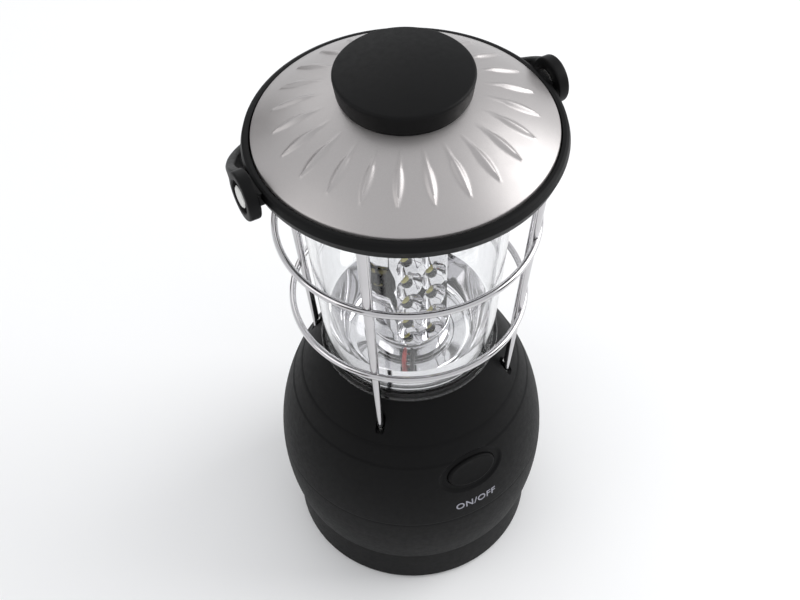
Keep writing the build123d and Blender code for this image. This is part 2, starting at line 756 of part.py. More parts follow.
def pivot_screw_set():
    """Two shoulder screws that the bail turns on."""
    under_x = boss_in + boss_t - pocket_t + 0.15
    top_x = under_x - 0.15 + pivot_head_h
    screw = turned((0, pivot_end_x), (pivot_thread_r, pivot_end_x), (pivot_thread_r, pivot_face_x),
                   (pivot_r, pivot_face_x), (pivot_r, under_x), (pivot_head_r, under_x),
                   (pivot_head_r, top_x - 0.4), (pivot_head_r - 0.5, top_x), (0, top_x))
    return [Pos(0, 0, pivot_z) * (Rot(0, side * 90, 0) * screw) for side in (-1, 1)]


def pivot_washers():
    """Thin washers between the rim and the bail's bosses."""
    flat = Cylinder(washer_r, washer_t) - Cylinder(pivot_r, 2 * washer_t)
    washers = []
    for side in (-1, 1):
        washers.append(Pos(side * (pivot_face_x + washer_t / 2), 0, pivot_z) * (Rot(0, 90, 0) * flat))
    return group(washers)


# ---- button and switch ---------------------------------------------------------------------
def push_button():
    """Oval button with a stop flange behind the housing's wall."""
    crown = housing_solid(-button_proud, seam_z, deck_z)
    rear = back_of_button()
    cap = oval(button_a, button_b, -rear, 4) & crown
    return cap + oval(button_a + flange_extra, button_b + flange_extra, -rear, flange_t - rear)


def back_of_button():
    """Depth of the button's rear face."""
    return pad_depth + flange_t + flange_drop


def switch_plunger():
    """Stem of the push switch, carried by the button."""
    length = switch_gap + switch_h - button_travel - 0.9
    return on_button_axis(Cylinder(plunger_r, length), 0, 0, -back_of_button() - length / 2)


def push_switch():
    """Latching push switch soldered to its board."""
    front = back_of_button() + switch_gap
    back = board_depth()
    body = on_button_axis(Box(switch_w, switch_w, back - front), 0, 0, -(front + back) / 2)
    bore = Cylinder(plunger_r + plunger_fit, 2 * (back - front - switch_floor_t))
    return body - on_button_axis(bore, 0, 0, -front)


def switch_board():
    """Circuit board of the switch."""
    middle = -board_depth() - switch_board_t / 2
    board = on_button_axis(Box(board_w, board_h, switch_board_t), 0, 0, middle)
    for side in (-1, 1):
        board -= on_button_axis(Cylinder(board_screw_r, 4), side * board_screw_x, 0, middle)
    return board


def switch_board_screws():
    """Two screws through the board into the housing's pillars."""
    screws = []
    under = -board_depth() - switch_board_t
    length = switch_board_t + board_screw_grip
    for side in (-1, 1):
        shank = on_button_axis(Cylinder(board_screw_r, length), side * board_screw_x, 0, under + length / 2)
        head = on_button_axis(Cylinder(board_head_r, board_head_h), side * board_screw_x, 0,
                              under - board_head_h / 2)
        screws.append(shank + head)
    return group(screws)


def build():
    """Every node's shape by its name."""
    screws_top = around(top_screw)
    screws_tie = around(tie_screw)
    posts = []
    for post, top, tie in zip(around(guard_post), screws_top, screws_tie):
        posts.append(post - top - tie)
    return {
        "foot_pad": foot_pad(), "battery_cover": battery_cover(), "cover_seal": cover_seal(),
        "contact_disc": contact_disc(), "lower_contacts": lower_contacts(), "battery_springs": battery_springs(),
        "battery_cells": battery_cells(), "battery_holder": battery_holder(), "upper_contacts": upper_contacts(),
        "base_housing": base_housing(), "lens_gasket_lower": lens_gasket_lower(), "lens": lens(),
        "lens_gasket_upper": lens_gasket_upper(), "reflector_dish": reflector_dish(),
        "light_tower": light_tower(), "led_board_front": led_board(0), "led_board_rear": led_board(180),
        "leds_front": leds(0), "leds_rear": leds(180), "ceiling_reflector": ceiling_reflector(),
        "lamp_lead_red": lamp_lead(-1), "lamp_lead_black": lamp_lead(1),
        "guard_posts": group(posts), "guard_ring_upper": guard_ring(upper_ring_h),
        "guard_ring_lower": guard_ring(lower_ring_h), "post_screws": group(screws_top),
        "tie_screws": group(screws_tie), "rim_ring": rim_ring(), "roof_screws": group(roof_screw_set()),
        "roof_dome": roof_dome(), "top_knob": top_knob(), "knob_screw": knob_screw(),
        "handle": handle(), "pivot_screws": group(pivot_screw_set()), "pivot_washers": pivot_washers(),
        "push_button": push_button(), "switch_plunger": switch_plunger(), "push_switch": push_switch(),
        "switch_board": switch_board(), "switch_board_screws": switch_board_screws(),
    }


os.makedirs("parts", exist_ok=True)
for name, shape in build().items():
    export_step(shape, "parts/" + name + ".step")
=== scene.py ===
"""Looks of a battery camping lantern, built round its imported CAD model.

Everything is in metres, in the model's own frame: +Z up, the origin at the middle of the standing
ring, X along the handle's axis and -Y to the front, where the push button is.
"""
import json
import math

import bmesh
import bpy
from bpy.props import FloatProperty, FloatVectorProperty, IntProperty, PointerProperty
from mathutils import Matrix, Vector


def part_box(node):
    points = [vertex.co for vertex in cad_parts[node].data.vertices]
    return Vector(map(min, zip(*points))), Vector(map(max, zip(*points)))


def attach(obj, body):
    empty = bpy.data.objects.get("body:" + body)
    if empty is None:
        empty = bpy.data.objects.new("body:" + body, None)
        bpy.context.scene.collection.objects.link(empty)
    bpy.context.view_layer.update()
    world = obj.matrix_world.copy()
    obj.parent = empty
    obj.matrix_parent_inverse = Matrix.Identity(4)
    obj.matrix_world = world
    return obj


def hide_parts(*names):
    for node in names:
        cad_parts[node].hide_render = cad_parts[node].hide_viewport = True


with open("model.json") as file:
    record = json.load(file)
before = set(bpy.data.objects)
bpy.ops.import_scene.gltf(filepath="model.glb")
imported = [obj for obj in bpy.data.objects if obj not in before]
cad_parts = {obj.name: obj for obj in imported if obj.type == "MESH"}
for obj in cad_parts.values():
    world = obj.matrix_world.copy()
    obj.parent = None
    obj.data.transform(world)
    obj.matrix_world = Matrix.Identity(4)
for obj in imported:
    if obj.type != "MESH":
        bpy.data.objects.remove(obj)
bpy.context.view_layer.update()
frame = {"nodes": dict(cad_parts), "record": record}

bl_info = {
    "name": "Camping lantern looks",
    "version": (1, 0, 0),
    "blender": (4, 5, 0),
    "location": "View3D > Sidebar > Lantern",
    "description": "Builds the detailed shapes and finishes of a battery camping lantern",
    "category": "Object",
}

MM = 0.001
TINY = 1e-7
POST_AZIMUTHS = (45, 135, 225, 315)
LEAD_AZIMUTH = -120
DECK_HOLE_R = 9 * MM
CUT_PAST = 3 * MM  # how far a cutting shape reaches past the piece

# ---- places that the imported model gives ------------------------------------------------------
SEAM_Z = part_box("base_housing")[0].z
DECK_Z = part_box("base_housing")[1].z
BULGE_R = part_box("base_housing")[1].x
COVER_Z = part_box("battery_cover")[0].z
RIM_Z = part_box("rim_ring")[0].z
RIM_TOP_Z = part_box("rim_ring")[1].z
RIM_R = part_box("rim_ring")[1].y
ROOF_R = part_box("roof_dome")[1].x
ROOF_LOW_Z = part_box("roof_dome")[0].z
ROOF_TOP_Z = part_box("roof_dome")[1].z
KNOB_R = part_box("top_knob")[1].x
KNOB_LOW_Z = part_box("top_knob")[0].z
KNOB_TOP_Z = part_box("top_knob")[1].z
PAD_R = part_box("foot_pad")[1].x
PAD_TOP_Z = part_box("foot_pad")[1].z
LENS_LOW_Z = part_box("lens")[0].z
LENS_TOP_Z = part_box("lens")[1].z
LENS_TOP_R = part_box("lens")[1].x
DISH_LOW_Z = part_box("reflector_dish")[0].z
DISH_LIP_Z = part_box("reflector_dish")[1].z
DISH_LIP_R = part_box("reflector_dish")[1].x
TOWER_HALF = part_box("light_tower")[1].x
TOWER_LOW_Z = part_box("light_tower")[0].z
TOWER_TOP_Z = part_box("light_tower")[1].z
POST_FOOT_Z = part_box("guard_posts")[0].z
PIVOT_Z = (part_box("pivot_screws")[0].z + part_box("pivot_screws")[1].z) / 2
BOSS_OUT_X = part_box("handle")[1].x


# ---- sizes and colours that a user would change ----------------------------------------------
def length(name, description, default):
    """A size in metres."""
    return FloatProperty(name=name, description=description, default=default, unit="LENGTH", precision=5)


def angle(name, description, degrees):
    """An angle, stored in radians."""
    return FloatProperty(name=name, description=description, default=math.radians(degrees), subtype="ANGLE")


def colour(name, description, default):
    """A linear colour."""
    return FloatVectorProperty(name=name, description=description, default=default, subtype="COLOR",
                               size=3, min=0.0, max=1.0)


class BodySettings(bpy.types.PropertyGroup):
    """Base housing and battery cover."""
    bulge_z: length("Bulge height", "Height of the housing's widest place", 54 * MM)
    side_curve: length("Side curve", "Radius of the arc that the side follows", 120 * MM)
    wall: length("Wall", "Thickness of the moulded wall", 2.6 * MM)
    deck_t: length("Deck", "Thickness of the deck under the globe", 3 * MM)
    lower_step_z: length("Lower step", "Height of the lower shoulder step", 98.9 * MM)
    upper_step_z: length("Upper step", "Height of the upper shoulder step", 108.7 * MM)
    step_depth: length("Step depth", "How far each shoulder step goes in", 0.32 * MM)
    crease_z: length("Crease", "Height of the faint crease below the button", 63 * MM)
    seam_step: length("Seam step", "How far the cover stands back under the housing's edge", 0.9 * MM)
    legend_z: length("Legend height", "Height of the middle of the switch's legend", 71.6 * MM)
    legend_w: length("Legend width", "Width of the switch's legend", 20.5 * MM)


class ButtonSettings(bpy.types.PropertyGroup):
    """Push button and the oval well that it lies in."""
    middle_z: length("Height", "Height of the button's middle", 90.6 * MM)
    half_w: length("Half width", "Half width of the oval button", 11.75 * MM)
    half_h: length("Half height", "Half height of the oval button", 7.1 * MM)
    fit: length("Gap", "Gap between the button and the housing", 0.35 * MM)
    well_half_w: length("Well half width", "Half width of the shallow well", 15.3 * MM)
    well_half_h: length("Well half height", "Half height of the shallow well", 10.3 * MM)
    well_depth: length("Well depth", "Depth of the shallow well", 1.0 * MM)
    dish: length("Dish", "How far the button's face is hollowed for the finger", 0.45 * MM)


class RoofSettings(bpy.types.PropertyGroup):
    """Domed roof with its pressed ribs, and the knob."""
    curve: length("Roof curve", "Radius of the dome", 95.7 * MM)
    sheet: length("Sheet", "Thickness of the roof", 1.8 * MM)
    rib_count: IntProperty(name="Ribs", description="Number of pressed ribs", default=24)
    rib_middle: length("Rib middle", "Distance of a rib's middle from the axis", 40.2 * MM)
    rib_half_length: length("Rib half length", "Half length of a rib", 7.7 * MM)
    rib_half_width: length("Rib half width", "Half width of a rib", 2.3 * MM)
    rib_height: length("Rib height", "How far a rib stands out", 0.95 * MM)
    rib_turn: angle("Rib turn", "Turn of the first rib from the front", -1.4)
    knob_foot_r: length("Knob foot", "Radius of the knob's foot", 23.4 * MM)
    knob_crown: length("Knob crown", "How far the knob's top is domed", 2.4 * MM)


class GuardSettings(bpy.types.PropertyGroup):
    """Chromed posts and rings."""
    wire_r: length("Ring wire", "Radius of the ring wire", 1.4 * MM)
    top_distance: length("Post top", "Distance of a post from the axis at the rim", 53 * MM)
    foot_distance: length("Post foot", "Distance of a post from the axis at its foot", 44.6 * MM)
    top_r: length("Post top radius", "Radius of a post at the rim", 2.2 * MM)
    foot_r: length("Post foot radius", "Radius of a post at its foot", 1.5 * MM)
    slot_half: length("Slot half length", "Half length of a post's slot in the shoulder", 3.4 * MM)


class LightSettings(bpy.types.PropertyGroup):
    """Globe, mirrored tower with its cups, lamps, and the lead gate of the bowl."""
    lens_foot_r: length("Globe foot", "Radius of the globe's foot", 37 * MM)
    flange_r: length("Globe flange", "Radius of the globe's foot flange", 39.2 * MM)
    flange_t: length("Flange thickness", "Thickness of the globe's foot flange", 2 * MM)
    lens_wall: length("Globe wall", "Wall of the globe", 2.2 * MM)
    rows: IntProperty(name="Rows", description="Rows of lamps on one face", default=6)
    pitch: length("Row pitch", "Distance between rows", 13.0 * MM)
    column: length("Column offset", "Distance of a column from the face's middle", 5.7 * MM)
    first_z: length("First row", "Height of the lowest row above the deck", 20.9 * MM)
    cup_half_w: length("Cup half width", "Half width of a light cup at the face", 5.6 * MM)
    cup_half_h: length("Cup half height", "Half height of a light cup at the face", 7.6 * MM)
    cup_depth: length("Cup depth", "Depth of a light cup", 4.0 * MM)
    lamp_r: length("Lamp radius", "Radius of a lamp", 2.5 * MM)
    lamp_base: length("Lamp base", "Depth of the lamps' foot below the face", 4.5 * MM)
    gate_z: length("Gate height", "Height of the lead gate's middle above the deck", 9 * MM)
    gate_w: length("Gate width", "Width of the lead gate", 7 * MM)
    gate_h: length("Gate opening", "Height of the lead gate", 3.8 * MM)


class HandleSettings(bpy.types.PropertyGroup):
    """Folding carrying bail."""
    bail_r: length("Bail radius", "Radius of the strap's middle", 62.8 * MM)
    reach: length("Reach", "How far the round part is moved away from the pivots", 5 * MM)
    strap_t: length("Strap thickness", "Thickness of the strap", 3.6 * MM)
    strap_w: length("Strap width", "Width of the strap", 14.5 * MM)
    boss_r: length("Boss radius", "Radius of the round ends", 9.3 * MM)
    boss_t: length("Boss thickness", "Thickness of the round ends", 4.7 * MM)
    pocket_r: length("Pocket radius", "Radius of the round pocket outside", 6.2 * MM)
    pocket_t: length("Pocket depth", "Depth of the round pocket", 2.0 * MM)
    bore_r: length("Bore radius", "Radius of the pivot bore", 2.56 * MM)
    tilt: angle("Rest tilt", "How far the folded bail hangs below the level", 30)


class FinishSettings(bpy.types.PropertyGroup):
    """Colours of the main finishes."""
    soft_black: colour("Soft-touch black", "Base housing, cover and button", (0.0036, 0.0036, 0.0038))
    plastic_black: colour("Moulded black", "Rim, knob and handle", (0.0036, 0.0036, 0.0038))
    silver: colour("Silver paint", "Roof", (0.44, 0.42, 0.415))
    chrome: colour("Chrome", "Guard posts and rings", (0.60, 0.59, 0.60))
    legend: colour("Legend", "Printed legend", (0.27, 0.27, 0.31))


class StageSettings(bpy.types.PropertyGroup):
    """Camera and light."""
    azimuth: angle("Camera azimuth", "Turn of the camera round the lantern", -27)
    elevation: angle("Camera elevation", "Height of the camera above the horizon", 50.42)
    roll: angle("Camera roll", "Tilt of the camera", -1.78)
    distance: length("Camera distance", "Distance of the camera from its target", 463 * MM)
    target_z: length("Target height", "Height that the camera looks at", 148.5 * MM)
    target_right: length("Target shift", "Sideways place that the camera looks at", -3.8 * MM)
    focal: FloatProperty(name="Focal length", description="Focal length in millimetres", default=48.2)
    key: FloatProperty(name="Key light", description="Power of the key light in watts", default=11.0)
    fill: FloatProperty(name="Fill light", description="Power of the fill light in watts", default=1.6)
    sky: FloatProperty(name="Sky", description="Brightness of the surroundings", default=0.86)


SETTINGS = {
    "lantern_body": BodySettings, "lantern_button": ButtonSettings, "lantern_roof": RoofSettings,
    "lantern_guard": GuardSettings, "lantern_light": LightSettings, "lantern_handle": HandleSettings,
    "lantern_finish": FinishSettings, "lantern_stage": StageSettings,
}


# ---- outlines and meshes ---------------------------------------------------------------------
def rounded(corners, steps=4):
    """Places (radius, height) of an outline whose corners are (radius, height, fillet)."""
    places = []
    for i, (r, z, fillet) in enumerate(corners):
        if not fillet:
            places.append((r, z))
            continue
        corner = Vector((r, z))
        before = Vector(corners[i - 1][:2]) - corner
        after = Vector(corners[(i + 1) % len(corners)][:2]) - corner
        reach = fillet / math.tan(before.angle(after) / 2)
        reach = min(reach, 0.48 * before.length, 0.48 * after.length)
        start = corner + before.normalized() * reach
        end = corner + after.normalized() * reach
        for k in range(steps + 1):
            t = k / steps
            place = start * (1 - t) ** 2 + corner * (2 * t * (1 - t)) + end * t ** 2
            places.append((place.x, place.y))
    return places


def turn(count):
    """Evenly spread angles of one full turn."""
    return [2 * math.pi * i / count for i in range(count)]


def lathe(outline, angles):
    """A solid turned about Z; an outline that starts off the axis closes on itself."""
    bm = bmesh.new()
    rings = []
    for r, z in outline:
        if r < TINY:
            rings.append([bm.verts.new((0, 0, z))])
        else:
            rings.append([bm.verts.new((r * math.cos(a), r * math.sin(a), z)) for a in angles])
    pairs = list(zip(rings, rings[1:]))
    if len(rings[0]) > 1:
        pairs.append((rings[-1], rings[0]))
    for a, b in pairs:
        for i in range(len(angles)):
            j = (i + 1) % len(angles)
            if len(a) == 1:
                bm.faces.new((a[0], b[i], b[j]))
            elif len(b) == 1:
                bm.faces.new((a[i], b[0], a[j]))
            else:
                bm.faces.new((a[i], b[i], b[j], a[j]))
    bmesh.ops.recalc_face_normals(bm, faces=bm.faces)
    return bm


def loft(sections):
    """A closed skin over loops of places with equal counts."""
    bm = bmesh.new()
    rings = [[bm.verts.new(p) for p in section] for section in sections]
    count = len(rings[0])
    for a, b in zip(rings, rings[1:]):
        for i in range(count):
            j = (i + 1) % count
            bm.faces.new((a[i], a[j], b[j], b[i]))
    bm.faces.new(rings[0])
    bm.faces.new(rings[-1])
    bmesh.ops.recalc_face_normals(bm, faces=bm.faces)
    return bm


def shade(mesh, sharp=32.0):
    """Smooth shading with edges kept sharp above an angle in degrees."""
    mesh.polygons.foreach_set("use_smooth", [True] * len(mesh.polygons))
    mesh.set_sharp_from_angle(angle=math.radians(sharp))


def piece_from(name, bm, material, sharp=32.0):
    """An object at the origin from a bmesh, which is used up."""
    mesh = bpy.data.meshes.new(name)
    bm.to_mesh(mesh)
    bm.free()
    mesh.materials.append(material)
    shade(mesh, sharp)
    piece = bpy.data.objects.new(name, mesh)
    bpy.context.scene.collection.objects.link(piece)
    return piece


def settle(piece, sharp=32.0):
    """Makes a piece's modifiers part of its mesh, welded and facing outwards."""
    bpy.context.view_layer.update()
    graph = bpy.context.evaluated_depsgraph_get()
    mesh = bpy.data.meshes.new_from_object(piece.evaluated_get(graph))
    piece.modifiers.clear()
    piece.data = mesh
    mesh.name = piece.name
    bm = bmesh.new()
    bm.from_mesh(mesh)
    bmesh.ops.remove_doubles(bm, verts=bm.verts, dist=1e-6)
    bmesh.ops.recalc_face_normals(bm, faces=bm.faces)
    bm.to_mesh(mesh)
    bm.free()
    shade(mesh, sharp)
    return piece


def combine(piece, tool, how, sharp=32.0):
    """Adds a tool's shape to a piece or cuts it away; the tool is used up."""
    change = piece.modifiers.new("combine", "BOOLEAN")
    change.operation = how
    change.solver = "EXACT"
    change.object = tool
    settle(piece, sharp)
    bpy.data.objects.remove(tool)


def soft_step(x, low, high):
    """0 below low, 1 above high and smooth between."""
    t = min(max((x - low) / (high - low), 0.0), 1.0)
    return t * t * (3 - 2 * t)


def finish_piece(piece, body, slot, *nodes):
    """Puts a piece on its body and hides the CAD nodes that it stands for; the slot is not used."""
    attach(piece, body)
    if nodes:
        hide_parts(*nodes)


# ---- shapes that follow from the sizes -------------------------------------------------------
def settings(group):
    """The sizes or finishes of a group of pieces."""
    return getattr(bpy.context.scene, "lantern_" + group)


def housing_r(z, inset=0.0):
    """Radius of the housing's plain side at a height."""
    s = settings("body")
    return BULGE_R - s.side_curve + math.sqrt((s.side_curve - inset) ** 2 - (z - s.bulge_z) ** 2)


def side_r(z):
    """Radius of the housing's side with its two shoulder steps and its faint crease."""
    s = settings("body")
    ramp = 0.5 * MM
    steps = soft_step(z, s.lower_step_z - ramp, s.lower_step_z + ramp)
    steps += soft_step(z, s.upper_step_z - ramp, s.upper_step_z + ramp)
    crease = max(0.0, 1 - abs(z - s.crease_z) / (0.6 * MM))
    return housing_r(z) - s.step_depth * steps - 0.12 * MM * crease


def roof_z(r, inset=0.0):
    """Height of the roof's upper side at a radius."""
    curve = settings("roof").curve
    return ROOF_TOP_Z - curve + math.sqrt((curve - inset) ** 2 - r ** 2)


def lens_r(z):
    """Radius of the globe's inner side at a height."""
    s = settings("light")
    share = (z - LENS_LOW_Z) / (LENS_TOP_Z - LENS_LOW_Z)
    return s.lens_foot_r - s.lens_wall + (LENS_TOP_R - s.lens_foot_r) * share


def button_frame():
    """Matrix of the button: Z points out of the housing, X to the right, Y up its side."""
    body = settings("body")
    z = settings("button").middle_z
    tilt = math.asin((z - body.bulge_z) / body.side_curve)
    place = Matrix.Translation((0, -housing_r(z), z))
    return place @ Matrix.Rotation(math.pi / 2 - tilt, 4, "X")


def side_drop(x, y):
    """How far the housing's side falls below the button's plane, at a place on that plane."""
    body = settings("body")
    z = settings("button").middle_z
    across = housing_r(z) / math.cos(math.asin((z - body.bulge_z) / body.side_curve))
    return x * x / (2 * across) + y * y / (2 * body.side_curve)


# ---- finishes --------------------------------------------------------------------------------
class Finish:
    """A procedural material under construction, with patterns on the object's own coordinates."""

    def __init__(self, name, **sockets):
        self.material = bpy.data.materials.new(name)
        self.material.use_nodes = True
        self.tree = self.material.node_tree
        self.shader = self.tree.nodes["Principled BSDF"]
        for label, value in sockets.items():
            self.shader.inputs[label.replace("_", " ")].default_value = value
        self.place = self.add("ShaderNodeTexCoord").outputs["Object"]
        self.normal = None

    def add(self, kind, options=None, **inputs):
        """A node with its options, and values or links on its inputs."""
        made = self.tree.nodes.new(kind)
        for label, value in (options or {}).items():
            setattr(made, label, value)
        for label, value in inputs.items():
            socket = made.inputs[label.replace("_", " ")]
            if isinstance(value, bpy.types.NodeSocket):
                self.tree.links.new(value, socket)
            else:
                socket.default_value = value
        return made

    def stretched(self, x, y, z):
        """Object coordinates scaled unevenly."""
        return self.add("ShaderNodeMapping", Vector=self.place, Scale=(x, y, z)).outputs["Vector"]

    def noise(self, scale, detail, place=None):
        """Noise from 0 to 1; scale is in features per metre."""
        made = self.add("ShaderNodeTexNoise", Vector=place or self.place, Scale=scale, Detail=detail)
        return made.outputs["Fac"]

    def cells(self, scale, feature="F1"):
        """Distance to the nearest of many scattered places."""
        made = self.add("ShaderNodeTexVoronoi", {"feature": feature}, Vector=self.place, Scale=scale)
        return made.outputs["Distance"]

    def between(self, value, low, high, to_low=0.0, to_high=1.0):
        """A value's range moved to another range."""
        made = self.add("ShaderNodeMapRange", Value=value, From_Min=low, From_Max=high, To_Min=to_low,
                        To_Max=to_high)
        return made.outputs["Result"]

    def mixed(self, share, first, second):
        """A colour between two, by a share."""
        made = self.add("ShaderNodeMix", {"data_type": "RGBA"})
        self.tree.links.new(share, made.inputs["Factor"])
        for socket, value in ((made.inputs[6], first), (made.inputs[7], second)):
            if isinstance(value, bpy.types.NodeSocket):
                self.tree.links.new(value, socket)
            else:
                socket.default_value = (*value, 1)
        return made.outputs[2]

    def colour(self, socket):
        """Links the base colour."""
        self.tree.links.new(socket, self.shader.inputs["Base Color"])
        return self

    def rough(self, value, low, high):
        """Links the roughness, between two values."""
        self.tree.links.new(self.between(value, 0.25, 0.75, low, high), self.shader.inputs["Roughness"])
        return self

    def bump(self, height, depth):
        """Adds relief of a depth in metres."""
        made = self.add("ShaderNodeBump", Height=height, Distance=depth, Strength=1.0)
        if self.normal is not None:
            self.tree.links.new(self.normal, made.inputs["Normal"])
        self.normal = made.outputs["Normal"]
        self.tree.links.new(self.normal, self.shader.inputs["Normal"])
        return self


def scaled(value, share):
    """A colour made darker or lighter."""
    return tuple(min(1.0, c * share) for c in value)


def made_once(make):
    """Keeps the material that a function makes, so that all pieces share it."""
    kept = []

    def give():
        if not kept:
            kept.append(make())
        return kept[0]
    return give


def moulded(name, base, rough, grain, depth, dust=0.0, gloss=0.5):
    """Moulded plastic or rubber: cloudy colour, fine grain and a little dust."""
    f = Finish(name, Specular_IOR_Level=gloss)
    cloud = f.mixed(f.noise(55, 4), scaled(base, 0.82), scaled(base, 1.22))
    if dust:
        specks = f.between(f.cells(260), 0.035, 0.02)
        cloud = f.mixed(specks, cloud, scaled(base, 1 + 16 * dust))
    f.colour(cloud).rough(f.noise(420, 3), *rough)
    return f.bump(f.noise(grain, 3), depth).bump(f.noise(130, 2), 0.6 * depth).material


def metal(name, base, rough, streak, depth):
    """Bare or plated metal with faint streaks."""
    f = Finish(name, Metallic=1.0)
    streaks = f.noise(700, 3, f.stretched(*streak))
    f.colour(f.mixed(f.noise(90, 3), scaled(base, 0.9), scaled(base, 1.06)))
    return f.rough(streaks, *rough).bump(streaks, depth).material


@made_once
def soft_touch_black():
    """Soft-touch coating of the base."""
    base = settings("finish").soft_black
    return moulded("soft_touch_black", base, (0.50, 0.60), 5200, 3.2e-5, dust=0.3, gloss=0.10)


@made_once
def moulded_black():
    """Fine-grained black of the rim, knob and handle."""
    base = settings("finish").plastic_black
    return moulded("moulded_black", base, (0.40, 0.52), 4200, 2.4e-5, dust=0.2, gloss=0.13)


@made_once
def black_rubber():
    """Non-slip ring and seals."""
    return moulded("black_rubber", (0.012, 0.012, 0.012), (0.68, 0.82), 2600, 5e-5)


@made_once
def silver_paint():
    """Satin silver paint with fine metallic flakes."""
    base = settings("finish").silver
    f = Finish("silver_paint", Metallic=0.72, Coat_Weight=0.12, Coat_Roughness=0.32)
    flakes = f.noise(9000, 1)
    f.colour(f.mixed(f.between(flakes, 0.35, 0.65), scaled(base, 0.93), scaled(base, 1.07)))
    f.rough(f.noise(160, 3), 0.36, 0.42)
    return f.bump(flakes, 9e-6).bump(f.noise(60, 2), 2e-5).material


@made_once
def chrome():
    """Bright plating of the guard."""
    return metal("chrome", settings("finish").chrome, (0.05, 0.13), (1, 1, 0.15), 2e-6)


@made_once
def mirror_plastic():
    """Vacuum-plated mirror, a little uneven as moulded."""
    f = Finish("mirror_plastic", Metallic=1.0)
    f.colour(f.mixed(f.noise(70, 2), (0.80, 0.79, 0.80), (0.90, 0.90, 0.91)))
    return f.rough(f.noise(240, 3), 0.02, 0.06).bump(f.noise(60, 1), 2e-5).material


@made_once
def clear_plastic():
    """Clear moulded globe, with a faint haze and long moulding waves."""
    f = Finish("clear_plastic", Transmission_Weight=1.0, IOR=1.49, Base_Color=(0.97, 0.975, 0.98, 1))
    return f.rough(f.noise(300, 2), 0.0, 0.02).bump(f.noise(40, 1, f.stretched(1, 1, 0.25)), 2e-5).material


@made_once
def lamp_epoxy():
    """Clear epoxy body of a lamp."""
    f = Finish("lamp_epoxy", Transmission_Weight=1.0, IOR=1.5)
    f.colour(f.mixed(f.noise(500, 2), (0.90, 0.90, 0.86), (0.96, 0.96, 0.94)))
    return f.rough(f.noise(500, 2), 0.02, 0.08).material


@made_once
def phosphor():
    """Yellow phosphor over a lamp's chip."""
    return moulded("lamp_phosphor", (0.78, 0.70, 0.20), (0.45, 0.6), 2600, 1e-5)


@made_once
def circuit_board():
    """Green solder mask over copper tracks."""
    f = Finish("circuit_board", Coat_Weight=0.5, Coat_Roughness=0.15)
    tracks = f.between(f.cells(420, "DISTANCE_TO_EDGE"), 0.05, 0.08)
    f.colour(f.mixed(tracks, (0.05, 0.24, 0.09), (0.02, 0.11, 0.045)))
    return f.rough(f.noise(300, 2), 0.25, 0.4).bump(tracks, -2e-5).material


@made_once
def zinc():
    """Zinc-plated screws and washers."""
    return metal("zinc_screw", (0.60, 0.60, 0.58), (0.22, 0.42), (1, 1, 4), 6e-6)


@made_once
def contact_metal():
    """Nickel-plated spring contacts."""
    return metal("contact_metal", (0.66, 0.63, 0.56), (0.18, 0.36), (4, 1, 1), 5e-6)


@made_once
def cell_jacket():
    """Plain metallic sleeve of a cell with its bare ends."""
    f = Finish("cell_jacket", Metallic=0.6)
    f.colour(f.mixed(f.noise(40, 3), (0.055, 0.055, 0.07), (0.10, 0.10, 0.12)))
    return f.rough(f.noise(300, 3, f.stretched(1, 1, 8)), 0.28, 0.42).bump(f.noise(900, 2), 8e-6).material


@made_once
def natural_plastic():
    """Unpainted moulded plastic of the inner parts."""
    return moulded("natural_plastic", (0.50, 0.49, 0.46), (0.42, 0.56), 2400, 2e-5)


@made_once
def switch_plastic():
    """Dark plastic of the switch."""
    return moulded("switch_plastic", (0.05, 0.05, 0.055), (0.35, 0.48), 2800, 1.5e-5)


@made_once
def lead_red():
    """Red lead insulation."""
    return moulded("lead_red", (0.50, 0.02, 0.015), (0.30, 0.42), 1800, 8e-6)


@made_once
def lead_black():
    """Black lead insulation."""
    return moulded("lead_black", (0.012, 0.012, 0.012), (0.30, 0.42), 1800, 8e-6)


@made_once
def legend_ink():
    """Printed legend, slightly uneven."""
    return moulded("legend_ink", settings("finish").legend, (0.45, 0.6), 5200, 1e-5)


# ---- geometry node trees ---------------------------------------------------------------------
class Tree:
    """A geometry node tree under construction; its inputs are named sizes."""

    def __init__(self, name, **sizes):
        self.tree = bpy.data.node_groups.new(name, "GeometryNodeTree")
        face = self.tree.interface
        face.new_socket("Geometry", in_out="INPUT", socket_type="NodeSocketGeometry")
        for label, kind in sizes.items():
            face.new_socket(label.replace("_", " "), in_out="INPUT", socket_type="NodeSocket" + kind)
        face.new_socket("Material", in_out="INPUT", socket_type="NodeSocketMaterial")
        face.new_socket("Geometry", in_out="OUTPUT", socket_type="NodeSocketGeometry")
        self.given = self.tree.nodes.new("NodeGroupInput").outputs

    def add(self, kind, options=None, **inputs):
        """A node with its options, and values or links on its inputs."""
        made = self.tree.nodes.new(kind)
        for label, value in (options or {}).items():
            setattr(made, label, value)
        for label, value in inputs.items():
            self.put(made.inputs[label.replace("_", " ")], value)
        return made

    def put(self, socket, value):
        """A link or a value on an input."""
        if isinstance(value, bpy.types.NodeSocket):
            self.tree.links.new(value, socket)
        else:
            socket.default_value = value

    def maths(self, operation, *values):
        """A sum of one to three values."""
        made = self.add("ShaderNodeMath", {"operation": operation})
        for socket, value in zip(made.inputs, values):
            self.put(socket, value)
        return made.outputs[0]

    def axes(self, vector):
        """X, Y and Z of a vector."""
        return self.add("ShaderNodeSeparateXYZ", Vector=vector).outputs

    def close(self, geometry):
        """Ends the tree: real geometry, with the material set."""
        real = self.add("GeometryNodeRealizeInstances", Geometry=geometry)
        done = self.add("GeometryNodeSetMaterial", Geometry=real.outputs[0],
                        Material=self.given["Material"])
        end = self.tree.nodes.new("NodeGroupOutput")
        self.tree.links.new(done.outputs[0], end.inputs[0])
        return self.tree


